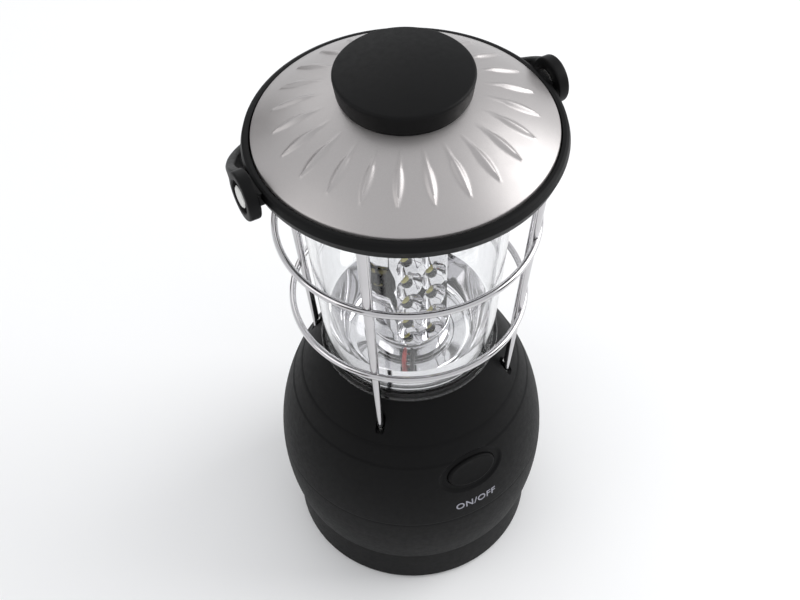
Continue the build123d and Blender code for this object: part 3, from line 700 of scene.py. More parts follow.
def grow(piece, tree, sharp=32.0, **values):
    """Runs a tree on a piece and keeps the mesh that it makes."""
    change = piece.modifiers.new(tree.name, "NODES")
    change.node_group = tree
    for item in tree.interface.items_tree:
        label = item.name.replace(" ", "_")
        if item.item_type == "SOCKET" and item.in_out == "INPUT" and label in values:
            change[item.identifier] = values[label]
    return settle(piece, sharp)


def empty_piece(name):
    """An object without geometry, for a tree that makes its own."""
    piece = bpy.data.objects.new(name, bpy.data.meshes.new(name))
    bpy.context.scene.collection.objects.link(piece)
    return piece


def ring_tree():
    """A round wire ring: circle, section and height."""
    t = Tree("wire_ring", Ring_Radius="Float", Height="Float", Wire_Radius="Float")
    line = t.add("GeometryNodeCurvePrimitiveCircle", Resolution=180, Radius=t.given["Ring Radius"])
    section = t.add("GeometryNodeCurvePrimitiveCircle", Resolution=20, Radius=t.given["Wire Radius"])
    wire = t.add("GeometryNodeCurveToMesh", Curve=line.outputs[0], Profile_Curve=section.outputs[0])
    lift = t.add("ShaderNodeCombineXYZ", Z=t.given["Height"])
    lifted = t.add("GeometryNodeTransform", Geometry=wire.outputs[0], Translation=lift.outputs[0])
    return t.close(lifted.outputs[0])


def around_tree():
    """Copies of the given mesh round the axis."""
    t = Tree("round_the_axis", Count="Int", Start_Angle="Float")
    spots = t.add("GeometryNodePoints", Count=t.given["Count"])
    index = t.add("GeometryNodeInputIndex").outputs[0]
    step = t.maths("DIVIDE", 2 * math.pi, t.given["Count"])
    turned = t.maths("ADD", t.maths("MULTIPLY", index, step), t.given["Start Angle"])
    euler = t.add("ShaderNodeCombineXYZ", Z=turned)
    rotation = t.add("FunctionNodeEulerToRotation", Euler=euler.outputs[0])
    copies = t.add("GeometryNodeInstanceOnPoints", Points=spots.outputs[0], Instance=t.given["Geometry"],
                   Rotation=rotation.outputs[0])
    return t.close(copies.outputs[0])


def lamp_tree():
    """Copies of the given mesh in two columns."""
    t = Tree("two_columns", Rows="Int", Row_Pitch="Float", Column_Offset="Float", First_Height="Float",
             Face_Depth="Float")
    count = t.maths("MULTIPLY", t.given["Rows"], 2.0)
    spots = t.add("GeometryNodePoints", Count=count)
    index = t.add("GeometryNodeInputIndex").outputs[0]
    column = t.maths("SUBTRACT", t.maths("MULTIPLY", t.maths("MODULO", index, 2.0), 2.0), 1.0)
    row = t.maths("FLOOR", t.maths("DIVIDE", index, 2.0))
    x = t.maths("MULTIPLY", column, t.given["Column Offset"])
    z = t.maths("MULTIPLY_ADD", row, t.given["Row Pitch"], t.given["First Height"])
    place = t.add("ShaderNodeCombineXYZ", X=x, Y=t.given["Face Depth"], Z=z)
    t.put(spots.inputs["Position"], place.outputs[0])
    copies = t.add("GeometryNodeInstanceOnPoints", Points=spots.outputs[0], Instance=t.given["Geometry"])
    return t.close(copies.outputs[0])


def rib_tree():
    """Presses ribs into a domed sheet, evenly round the axis."""
    t = Tree("pressed_ribs", Rib_Count="Int", Rib_Middle="Float", Rib_Half_Length="Float",
             Rib_Half_Width="Float", Rib_Height="Float", First_Angle="Float", Dome_Centre="Float")
    place = t.add("GeometryNodeInputPosition").outputs[0]
    x, y = t.axes(place)[:2]
    radius = t.maths("SQRT", t.maths("ADD", t.maths("MULTIPLY", x, x), t.maths("MULTIPLY", y, y)))
    azimuth = t.maths("SUBTRACT", t.maths("ARCTAN2", y, x), t.given["First Angle"])
    sector = t.maths("DIVIDE", 2 * math.pi, t.given["Rib Count"])
    turns = t.maths("ADD", t.maths("DIVIDE", azimuth, sector), t.given["Rib Count"])
    turns = t.maths("FRACT", t.maths("ADD", turns, 0.5))
    off = t.maths("MULTIPLY", t.maths("MULTIPLY", t.maths("SUBTRACT", turns, 0.5), sector), radius)
    across = t.maths("DIVIDE", off, t.given["Rib Half Width"])
    past_middle = t.maths("SUBTRACT", radius, t.given["Rib Middle"])
    along = t.maths("DIVIDE", past_middle, t.given["Rib Half Length"])
    waist = t.maths("SUBTRACT", 1.0, t.maths("MULTIPLY", along, along))
    waist = t.maths("MAXIMUM", waist, 0.0001)
    share = t.maths("SUBTRACT", 1.0, t.maths("ABSOLUTE", t.maths("DIVIDE", across, waist)))
    inside = t.add("ShaderNodeMapRange", {"interpolation_type": "SMOOTHSTEP"}, Value=share)
    height = t.maths("MULTIPLY", t.maths("MULTIPLY", inside.outputs["Result"], t.maths("SQRT", waist)),
                     t.given["Rib Height"])
    centre = t.add("ShaderNodeCombineXYZ", Z=t.given["Dome Centre"])
    away = t.add("ShaderNodeVectorMath", {"operation": "SUBTRACT"})
    t.put(away.inputs[0], place)
    t.put(away.inputs[1], centre.outputs[0])
    unit = t.add("ShaderNodeVectorMath", {"operation": "NORMALIZE"})
    t.put(unit.inputs[0], away.outputs[0])
    push = t.add("ShaderNodeVectorMath", {"operation": "SCALE"}, Scale=height)
    t.put(push.inputs[0], unit.outputs[0])
    pressed = t.add("GeometryNodeSetPosition", Geometry=t.given["Geometry"], Offset=push.outputs[0])
    return t.close(pressed.outputs[0])


def cup_tree():
    """Presses two columns of light cups into the front and rear faces of a square column."""
    t = Tree("light_cups", Face="Float", Row_Pitch="Float", Column_Offset="Float", First_Height="Float",
             Last_Height="Float", Cup_Half_Width="Float", Cup_Half_Height="Float", Cup_Depth="Float")
    x, y, z = t.axes(t.add("GeometryNodeInputPosition").outputs[0])
    over = t.maths("SUBTRACT", t.maths("ABSOLUTE", x), t.given["Column Offset"])
    rise = t.maths("SUBTRACT", z, t.given["First Height"])
    row = t.maths("ROUND", t.maths("DIVIDE", rise, t.given["Row Pitch"]))
    middle = t.maths("MULTIPLY_ADD", row, t.given["Row Pitch"], t.given["First Height"])
    middle = t.maths("MINIMUM", t.maths("MAXIMUM", middle, t.given["First Height"]), t.given["Last Height"])
    u = t.maths("DIVIDE", over, t.given["Cup Half Width"])
    v = t.maths("DIVIDE", t.maths("SUBTRACT", z, middle), t.given["Cup Half Height"])
    bowl = t.maths("SUBTRACT", 1.0, t.maths("ADD", t.maths("MULTIPLY", u, u), t.maths("MULTIPLY", v, v)))
    depth = t.maths("MULTIPLY", t.maths("MAXIMUM", bowl, 0.0), t.given["Cup Depth"])
    inward = t.maths("MULTIPLY", t.maths("SIGN", y), t.maths("MULTIPLY", depth, -1.0))
    on_face = t.add("FunctionNodeCompare", {"data_type": "FLOAT", "operation": "GREATER_THAN"})
    t.put(on_face.inputs[0], t.maths("ABSOLUTE", y))
    t.put(on_face.inputs[1], t.given["Face"])
    push = t.add("ShaderNodeCombineXYZ", Y=inward)
    moved = t.add("GeometryNodeSetPosition", Geometry=t.given["Geometry"], Selection=on_face.outputs[0],
                  Offset=push.outputs[0])
    return t.close(moved.outputs[0])


# ---- pieces ----------------------------------------------------------------------------------
def levels(low, high, coarse, bands):
    """Heights from low to high; each band (from, to, step) is closer."""
    z, rows = low, []
    while z < high - TINY:
        rows.append(z)
        steps = [step for start, end, step in bands if start <= z < end]
        z += min(steps + [coarse])
    return rows + [high]


def front_dense_angles(half, fine, coarse):
    """Angles of a full turn, close together round the front."""
    front = -math.pi / 2
    count = round(2 * half / fine)
    close = [front - half + 2 * half * i / count for i in range(count)]
    rest = 2 * math.pi - 2 * half
    count = round(rest / coarse)
    return close + [front + half + rest * i / count for i in range(count)]


def oval_prism(half_w, half_h, low, high, at):
    """An oval block along Z of the matrix at."""
    loops = []
    for z in (low, high):
        loops.append([at @ Vector((half_w * math.cos(a), half_h * math.sin(a), z)) for a in turn(96)])
    return loft(loops)


def make_housing():
    """Base housing: stepped side, shallow well, button hole and post slots."""
    s = settings("body")
    b = settings("button")
    step_row = 0.25 * MM
    bands = [(b.middle_z - b.well_half_h - 2 * MM, b.middle_z + b.well_half_h + 1 * MM, 0.42 * MM),
             (s.upper_step_z - 1.2 * MM, s.upper_step_z + 1.2 * MM, step_row),
             (s.crease_z - 1 * MM, s.crease_z + 1 * MM, step_row)]
    edge_r = side_r(SEAM_Z)
    outline = [(edge_r - s.wall, SEAM_Z + 0.4 * MM), (edge_r - s.wall + 0.4 * MM, SEAM_Z)]
    outline += rounded([(edge_r - 2 * MM, SEAM_Z, 0), (edge_r, SEAM_Z, 1.0 * MM),
                        (side_r(SEAM_Z + 2 * MM), SEAM_Z + 2 * MM, 0)])[1:]
    outline += [(side_r(z), z) for z in levels(SEAM_Z + 3 * MM, DECK_Z - 2.4 * MM, 1.6 * MM, bands)]
    top_r = side_r(DECK_Z)
    outline += rounded([(side_r(DECK_Z - 2 * MM), DECK_Z - 2 * MM, 0), (top_r, DECK_Z, 0.9 * MM),
                        (top_r - 3 * MM, DECK_Z, 0)])[1:]
    deck_under = DECK_Z - s.deck_t
    outline += [(DECK_HOLE_R, DECK_Z), (DECK_HOLE_R, deck_under)]
    inner = [(housing_r(z, s.wall), z) for z in levels(SEAM_Z + 1.5 * MM, deck_under, 4 * MM, [])]
    outline += inner[::-1]
    bm = lathe(outline, front_dense_angles(math.radians(17.5), math.radians(0.42), math.radians(2.2)))
    sink_well(bm)
    piece = piece_from("base_housing_shell", bm, soft_touch_black())
    hole = oval_prism(b.half_w + b.fit, b.half_h + b.fit, -12 * MM, 6 * MM, button_frame())
    combine(piece, piece_from("hole", hole, soft_touch_black()), "DIFFERENCE")
    combine(piece, piece_from("slots", slot_cutters(), soft_touch_black()), "DIFFERENCE")
    finish_piece(piece, "base", "black_rubberised", "base_housing")


def sink_well(bm):
    """Presses the shallow oval well round the button into the housing's outer skin."""
    b = settings("button")
    s = settings("body")
    to_plane = button_frame().inverted()
    inward = -(button_frame().to_3x3() @ Vector((0, 0, 1)))
    for vertex in bm.verts:
        place = to_plane @ vertex.co
        if vertex.co.y > 0 or place.z < -s.wall:
            continue
        reach = math.hypot(place.x / b.well_half_w, place.y / b.well_half_h)
        vertex.co += inward * b.well_depth * (1 - soft_step(reach, 0.93, 1.06))


def slot_cutters():
    """Rounded slots in the shoulder, along the leaning posts."""
    s = settings("guard")
    lean = math.atan((s.top_distance - s.foot_distance) / (RIM_Z - POST_FOOT_Z))
    slot_r = s.foot_r + 0.5 * MM
    straight = s.slot_half - slot_r
    cutters = bmesh.new()
    for azimuth in POST_AZIMUTHS:
        at = Matrix.Rotation(math.radians(azimuth), 4, "Z")
        at = at @ Matrix.Translation((s.foot_distance, 0, POST_FOOT_Z)) @ Matrix.Rotation(lean, 4, "Y")
        loops = []
        for z in (-2 * MM, 16 * MM):
            loop = []
            for a in turn(32):
                side = straight if math.cos(a) > 0 else -straight
                loop.append(at @ Vector((side + slot_r * math.cos(a), slot_r * math.sin(a), z)))
            loops.append(loop)
        part = loft(loops)
        mesh = bpy.data.meshes.new("slot")
        part.to_mesh(mesh)
        part.free()
        cutters.from_mesh(mesh)
        bpy.data.meshes.remove(mesh)
    return cutters


def make_cover():
    """Battery cover with rounded edges, and the rubber ring under it."""
    s = settings("body")
    fit = 0.1 * MM
    top = SEAM_Z - 0.35 * MM
    top_r = housing_r(SEAM_Z) - s.seam_step
    low_r = PAD_R + 1.7 * MM
    spigot_r = top_r - 2.9 * MM
    spigot_in = spigot_r - 2.2 * MM
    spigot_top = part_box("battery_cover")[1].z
    floor_z = COVER_Z + s.wall
    groove = PAD_R + fit
    ring_in = PAD_R - 9 * MM
    corners = [(0, COVER_Z, 0), (ring_in, COVER_Z, 0), (ring_in, PAD_TOP_Z, 0), (groove, PAD_TOP_Z, 0),
               (groove, COVER_Z, 0), (low_r, COVER_Z, 0.9 * MM), (top_r, top, 1.1 * MM), (spigot_r, top, 0),
               (spigot_r, spigot_top, 0.5 * MM), (spigot_in, spigot_top, 0.5 * MM),
               (spigot_in, floor_z, 1.2 * MM), (0, floor_z, 0)]
    cover = piece_from("battery_cover_cup", lathe(rounded(corners, 6), turn(200)), soft_touch_black())
    finish_piece(cover, "battery_cover", "black_rubberised", "battery_cover")
    inner = ring_in + fit
    ridge_z = 0.6 * MM
    pad = [(PAD_R, ridge_z, 0), (PAD_R, PAD_TOP_Z, 0.3 * MM), (inner, PAD_TOP_Z, 0.3 * MM),
           (inner, ridge_z, 0)]
    ridges = 3
    pitch = (PAD_R - inner) / ridges
    groove_z, groove_half, slant = 0.7 * MM, 0.2 * MM, 0.5 * MM
    for i in range(ridges):
        start = inner + i * pitch
        end = start + pitch
        pad += [(start + slant, 0, 0.4 * MM), (end - slant, 0, 0.4 * MM)]
        if i < ridges - 1:
            pad += [(end - groove_half, groove_z, 0), (end + groove_half, groove_z, 0)]
    foot_ring = piece_from("foot_pad_ring", lathe(rounded(pad, 3), turn(180)), black_rubber())
    finish_piece(foot_ring, "battery_cover", "rubber", "foot_pad")


def make_button():
    """Oval push button: hollowed face that follows the side, rounded rim and straight skirt."""
    b = settings("button")
    at = button_frame()
    edge = 0.9 * MM
    proud = 0.2 * MM
    skirt = 5.5 * MM
    rim_rows = [(1.0, edge), (0.985, 0.45 * edge), (0.955, 0.14 * edge), (0.91, 0.0)]
    face_rows = [(0.86, 0.12), (0.8, 0.3), (0.7, 0.55), (0.55, 0.78), (0.35, 0.92), (0.12, 1.0)]
    loops = [[at @ Vector((b.half_w * math.cos(a), b.half_h * math.sin(a), -skirt)) for a in turn(96)]]
    for share, drop in rim_rows + [(share, part * b.dish) for share, part in face_rows]:
        loop = []
        for a in turn(96):
            x = share * b.half_w * math.cos(a)
            y = share * b.half_h * math.sin(a)
            loop.append(at @ Vector((x, y, proud - side_drop(x, y) - drop)))
        loops.append(loop)
    piece = piece_from("push_button_cap", loft(loops), soft_touch_black(), 50)
    finish_piece(piece, "push_button", "black_rubberised", "push_button")


def make_legend():
    """Generic switch legend, laid on the housing's curved side."""
    s = settings("body")
    text = bpy.data.curves.new("legend_text", "FONT")
    text.body = "ON/OFF"
    text.align_x = "CENTER"
    text.align_y = "CENTER"
    text.extrude = 0.02
    text.offset = 0.012
    text.space_character = 1.08
    text.resolution_u = 6
    holder = bpy.data.objects.new("legend_text", text)
    bpy.context.scene.collection.objects.link(holder)
    bpy.context.view_layer.update()
    graph = bpy.context.evaluated_depsgraph_get()
    mesh = bpy.data.meshes.new_from_object(holder.evaluated_get(graph))
    bpy.data.objects.remove(holder)
    bm = bmesh.new()
    bm.from_mesh(mesh)
    bpy.data.meshes.remove(mesh)
    bmesh.ops.remove_doubles(bm, verts=bm.verts, dist=1e-5)
    for height in (-0.25, -0.12, 0.0, 0.12, 0.25):
        everything = bm.verts[:] + bm.edges[:] + bm.faces[:]
        bmesh.ops.bisect_plane(bm, geom=everything, plane_co=(0, height, 0), plane_no=(0, 1, 0))
    bmesh.ops.triangulate(bm, faces=bm.faces)
    xs = [v.co.x for v in bm.verts]
    size = s.legend_w / (max(xs) - min(xs))
    sheet = 0.14 * MM
    sunk = 0.02 * MM
    slope = math.asin((s.legend_z - s.bulge_z) / s.side_curve)
    for vertex in bm.verts:
        out = 0.0 if vertex.co.z < 0 else sheet
        z = s.legend_z + vertex.co.y * size * math.cos(slope)
        r = side_r(z) + out - sunk
        around = vertex.co.x * size / r
        vertex.co = (r * math.sin(around), -r * math.cos(around), z)
    bmesh.ops.recalc_face_normals(bm, faces=bm.faces)
    finish_piece(piece_from("switch_legend", bm, legend_ink()), "base", None)


def make_roof():
    """Domed roof: turned sheet, then a tree presses the ribs in."""
    s = settings("roof")
    fine_low = s.rib_middle - s.rib_half_length - 0.5 * MM
    fine_high = s.rib_middle + s.rib_half_length + 0.5 * MM
    row = 3.5 * MM
    faces_per_rib = 22
    outer_rows = levels(0.0, ROOF_R - 1.0 * MM, row, [(fine_low, fine_high, 0.55 * MM)])
    outer = [(r, roof_z(r)) for r in outer_rows]
    edge = ROOF_R - 1.6 * MM
    inner_r = ROOF_R - s.sheet
    outer += rounded([(edge, roof_z(edge), 0), (ROOF_R, roof_z(ROOF_R), 0.8 * MM),
                      (ROOF_R, ROOF_LOW_Z, 0.3 * MM), (inner_r, ROOF_LOW_Z, 0.3 * MM)])[1:]
    inner_rows = levels(0.0, inner_r, row, [(fine_low, fine_high, 1.1 * MM)])
    inner = [(r, roof_z(r, s.sheet)) for r in inner_rows]
    bm = lathe(outer + inner[::-1], turn(s.rib_count * faces_per_rib))
    piece = piece_from("roof_dome_sheet", bm, silver_paint(), 40)
    grow(piece, rib_tree(), 40, Rib_Count=s.rib_count, Rib_Middle=s.rib_middle,
         Rib_Half_Length=s.rib_half_length, Rib_Half_Width=s.rib_half_width, Rib_Height=s.rib_height,
         First_Angle=s.rib_turn - math.pi / 2, Dome_Centre=ROOF_TOP_Z - s.curve, Material=silver_paint())
    finish_piece(piece, "base", "silver_paint", "roof_dome")


def make_rim():
    """Black rim ring with a chamfered foot, the roof's seat and the pivots' blocks."""
    lip = ROOF_R + 0.6 * MM
    floor_z = RIM_Z + 3 * MM
    bore_r = 6 * MM
    corners = [(bore_r, RIM_Z, 0), (RIM_R - 2.3 * MM, RIM_Z, 0.3 * MM),
               (RIM_R - 1.2 * MM, RIM_Z + 1.0 * MM, 0.3 * MM), (RIM_R, RIM_Z + 4.6 * MM, 0.8 * MM),
               (RIM_R - 0.7 * MM, RIM_TOP_Z - 0.5 * MM, 0.5 * MM), (RIM_R - 1.8 * MM, RIM_TOP_Z, 0.5 * MM),
               (lip, RIM_TOP_Z, 0.3 * MM), (lip, floor_z, 0.3 * MM), (bore_r, floor_z, 0)]
    piece = piece_from("rim_ring_moulding", lathe(rounded(corners, 5), turn(220)), moulded_black())
    block_w = 11 * MM
    block_top = PIVOT_Z + 3.4 * MM
    block_low = RIM_Z + 1 * MM
    inner_x = lip + 0.2 * MM
    outer_x = BOSS_OUT_X - 5.4 * MM
    for side in (-1, 1):
        bm = bmesh.new()
        bmesh.ops.create_cube(bm, size=1.0)
        for vertex in bm.verts:
            vertex.co.x = side * (outer_x if vertex.co.x > 0 else inner_x)
            vertex.co.y *= block_w
            vertex.co.z = block_top if vertex.co.z > 0 else block_low
        bmesh.ops.recalc_face_normals(bm, faces=bm.faces)
        combine(piece, piece_from("block", bm, moulded_black()), "UNION")
    finish_piece(piece, "base", "black_plastic", "rim_ring")


def make_knob():
    """Domed knob on the roof."""
    s = settings("roof")
    edge_z = KNOB_TOP_Z - s.knob_crown
    crown_r = KNOB_R - 3 * MM
    curve = (KNOB_R ** 2 + s.knob_crown ** 2) / (2 * s.knob_crown)
    crown = [(r, KNOB_TOP_Z - curve + math.sqrt(curve ** 2 - r ** 2))
             for r in levels(0.0, crown_r, 2.2 * MM, [])]
    side = rounded([(crown_r, crown[-1][1], 0), (KNOB_R, edge_z + 0.1 * MM, 1.3 * MM),
                    (s.knob_foot_r + 0.9 * MM, KNOB_LOW_Z + 1.7 * MM, 0.3 * MM),
                    (s.knob_foot_r + 0.2 * MM, KNOB_LOW_Z + 1.4 * MM, 0.2 * MM),
                    (s.knob_foot_r, KNOB_LOW_Z, 0)], 7)[1:]
    foot = [(r, roof_z(r)) for r in levels(0.0, s.knob_foot_r - 1 * MM, 3 * MM, [])]
    bm = lathe(crown + side + foot[::-1], turn(160))
    finish_piece(piece_from("top_knob_cap", bm, moulded_black(), 40), "base", "black_plastic", "top_knob")


def strap_line():
    """Middle line of the level bail from one pivot to the other: places and sideways directions."""
    s = settings("handle")
    line = []
    legs = 6
    for i in range(legs):
        line.append((Vector((s.bail_r, s.reach * i / legs, 0)), Vector((1, 0, 0))))
    arcs = 96
    for i in range(arcs + 1):
        a = math.pi * i / arcs
        away = Vector((math.cos(a), math.sin(a), 0))
        line.append((Vector((0, s.reach, 0)) + s.bail_r * away, away))
    for i in range(legs - 1, -1, -1):
        line.append((Vector((-s.bail_r, s.reach * i / legs, 0)), Vector((-1, 0, 0))))
    return line


def strap_loop(place, away, half_w, half_t):
    """A rounded rectangle across the strap."""
    corner = 1.15 * MM
    steps = 4
    loop = []
    for quarter, (u, v) in enumerate(((1, 1), (-1, 1), (-1, -1), (1, -1))):
        for k in range(steps + 1):
            a = math.pi / 2 * (quarter + k / steps)
            x = u * (half_t - corner) + corner * math.cos(a)
            z = v * (half_w - corner) + corner * math.sin(a)
            loop.append(place + away * x + Vector((0, 0, z)))
    return loop


def make_handle():
    """Folding bail: rounded strap that widens into two round bosses with pockets."""
    s = settings("handle")
    wider = 1.3 * MM
    loops = []
    for place, away in strap_line():
        near = 1 - soft_step(place.y, 5 * MM, 26 * MM)
        loops.append(strap_loop(place, away, s.strap_w / 2 + near * wider, s.strap_t / 2))
    piece = piece_from("bail_handle", loft(loops), moulded_black())
    in_x = BOSS_OUT_X - s.boss_t
    floor_x = BOSS_OUT_X - s.pocket_t
    past_x = BOSS_OUT_X + CUT_PAST
    mouth_r = s.pocket_r + 0.6 * MM
    boss = rounded([(0, in_x, 0), (s.boss_r, in_x, 0.8 * MM), (s.boss_r, BOSS_OUT_X, 1.1 * MM),
                    (0, BOSS_OUT_X, 0)], 5)
    pocket = rounded([(0, floor_x, 0), (s.pocket_r - 0.3 * MM, floor_x, 0.4 * MM),
                      (s.pocket_r, BOSS_OUT_X - 0.5 * MM, 0), (mouth_r, BOSS_OUT_X + 0.1 * MM, 0),
                      (mouth_r, past_x, 0), (0, past_x, 0)], 4)
    bore = [(0, in_x - CUT_PAST), (s.bore_r, in_x - CUT_PAST), (s.bore_r, past_x), (0, past_x)]
    for side in (-1, 1):
        add_turned(piece, boss, side, "UNION")
        add_turned(piece, pocket, side, "DIFFERENCE")
        add_turned(piece, bore, side, "DIFFERENCE")
    piece.data.transform(Matrix.Translation((0, 0, PIVOT_Z)) @ Matrix.Rotation(-s.tilt, 4, "X"))
    finish_piece(piece, "handle", "black_plastic", "handle")


def add_turned(piece, outline, side, how):
    """Adds or cuts a shape turned about the X axis, on one side."""
    bm = lathe(outline, turn(72))
    bmesh.ops.rotate(bm, matrix=Matrix.Rotation(side * math.pi / 2, 3, "Y"), verts=bm.verts)
    combine(piece, piece_from("turned", bm, moulded_black()), how)


def make_guard():
    """Chromed rings and leaning posts, with notches where the rings pass."""
    s = settings("guard")
    rings = []
    tree = ring_tree()
    for node in ("guard_ring_upper", "guard_ring_lower"):
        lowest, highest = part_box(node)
        middle = (lowest.z + highest.z) / 2
        ring_r = highest.x - s.wire_r
        rings.append((ring_r, middle))
        wire = grow(empty_piece(node + "_wire"), tree, Ring_Radius=ring_r, Height=middle,
                    Wire_Radius=s.wire_r, Material=chrome())
        finish_piece(wire, "base", "chrome_wire", node)
    foot = Vector((s.foot_distance, 0, POST_FOOT_Z))
    top = Vector((s.top_distance, 0, RIM_Z))
    lean = (top - foot).normalized()
    across = Vector((0, 1, 0))
    side = lean.cross(across)
    loops = []
    tip = [(0.0, 0.45), (0.0025, 0.75), (0.007, 0.95), (0.013, 1.0)]
    spans = 24
    for share, size in tip + [(i / spans, 1.0) for i in range(1, spans + 1)]:
        r = size * (s.foot_r + (s.top_r - s.foot_r) * share)
        middle = foot + (top - foot) * share
        loops.append([middle + r * (side * math.cos(a) + across * math.sin(a)) for a in turn(28)])
    post = piece_from("guard_post_set", loft(loops), chrome())
    notch_r = s.wire_r + 0.3 * MM
    for ring_r, height in rings:
        tool = grow(empty_piece("notch"), tree, Ring_Radius=ring_r, Height=height, Wire_Radius=notch_r,
                    Material=chrome())
        combine(post, tool, "DIFFERENCE")
    grow(post, around_tree(), Count=len(POST_AZIMUTHS), Start_Angle=math.radians(POST_AZIMUTHS[0]),
         Material=chrome())
    finish_piece(post, "base", "chrome_wire", "guard_posts")


def make_globe():
    """Clear tapering globe with a foot flange and softened edges."""
    s = settings("light")
    flange_z = LENS_LOW_Z + s.flange_t
    foot_r = s.lens_foot_r + 0.1 * MM
    slope = (LENS_TOP_R - foot_r) / (LENS_TOP_Z - flange_z)
    row = 6 * MM
    end = 1.5 * MM
    top_row = LENS_TOP_Z - end
    soft = 0.4 * MM
    outside = [(foot_r + slope * (z - flange_z), z, 0) for z in levels(flange_z + end, top_row, row, [])]
    inside = [(lens_r(z), z, 0) for z in levels(LENS_LOW_Z + end, top_row, row, [])]
    corners = [(lens_r(LENS_LOW_Z), LENS_LOW_Z, soft), (s.flange_r, LENS_LOW_Z, soft),
               (s.flange_r, flange_z, 0.6 * MM), (foot_r, flange_z, 0.5 * MM), *outside,
               (LENS_TOP_R, LENS_TOP_Z, soft), (LENS_TOP_R - s.lens_wall, LENS_TOP_Z, soft), *inside[::-1]]
    piece = piece_from("globe", lathe(rounded(corners, 4), turn(200)), clear_plastic(), 45)
    piece.visible_shadow = False
    finish_piece(piece, "base", "clear_lens", "lens")


def make_tower():
    """Square mirrored column with two columns of light cups on its front and rear."""
    s = settings("light")
    half = TOWER_HALF
    spans = 56
    soft = 0.35 * MM
    bend = half - 0.1 * MM
    loop = [(-half + 2 * half * i / spans, -half) for i in range(1, spans)]
    loop += [(half - soft, -half), (bend, -bend), (half, -half + soft)]
    loop += [(half, y) for y in (-half / 2, 0, half / 2)]
    loop += [(half, half - soft), (bend, bend), (half - soft, half)]
    loop += [(-x, -y) for x, y in loop]
    rows = levels(TOWER_LOW_Z, TOWER_TOP_Z, 0.5 * MM, [])
    piece = piece_from("light_tower_column", loft([[Vector((x, y, z)) for x, y in loop] for z in rows]),
                       mirror_plastic())
    first = DECK_Z + s.first_z
    grow(piece, cup_tree(), 26, Face=half - 0.01 * MM, Row_Pitch=s.pitch, Column_Offset=s.column,
         First_Height=first, Last_Height=first + (s.rows - 1) * s.pitch, Cup_Half_Width=s.cup_half_w,
         Cup_Half_Height=s.cup_half_h, Cup_Depth=s.cup_depth, Material=mirror_plastic())
    finish_piece(piece, "base", "mirror_plastic", "light_tower")


def make_lamps():
    """Round-nosed clear lamps with their phosphor inside, front and rear."""
    s = settings("light")
    barrel = 1.8 * MM
    collar = s.lamp_r + 0.3 * MM
    collar_t = 0.7 * MM
    chip_z = 0.55 * MM
    steps = 9
    nose = [(s.lamp_r * math.cos(a), barrel + s.lamp_r * math.sin(a))
            for a in (math.pi / 2 * i / steps for i in range(steps))]
    body = [(0, 0), (collar, 0), (collar, collar_t), (s.lamp_r, collar_t), *nose, (0, barrel + s.lamp_r)]
    chip_r = 1.1 * MM
    core = rounded([(0, chip_z, 0), (chip_r, chip_z, 0), (1.0 * MM, 1.1 * MM, 0.2 * MM), (0, 1.2 * MM, 0)])
    tree = lamp_tree()
    for node, facing in (("leds_front", 0.0), ("leds_rear", math.pi)):
        for part, outline, finish in (("_lamps", body, lamp_epoxy()), ("_phosphor", core, phosphor())):
            bm = lathe(outline, turn(28))
            bmesh.ops.rotate(bm, matrix=Matrix.Rotation(math.pi / 2, 3, "X"), verts=bm.verts)
            piece = piece_from(node + part, bm, finish)
            grow(piece, tree, 50, Rows=s.rows, Row_Pitch=s.pitch, Column_Offset=s.column,
                 First_Height=DECK_Z + s.first_z, Face_Depth=s.lamp_base - TOWER_HALF, Material=finish)
            piece.data.transform(Matrix.Rotation(facing, 4, "Z"))
            finish_piece(piece, "base", "led_epoxy", *([node] if outline is body else []))


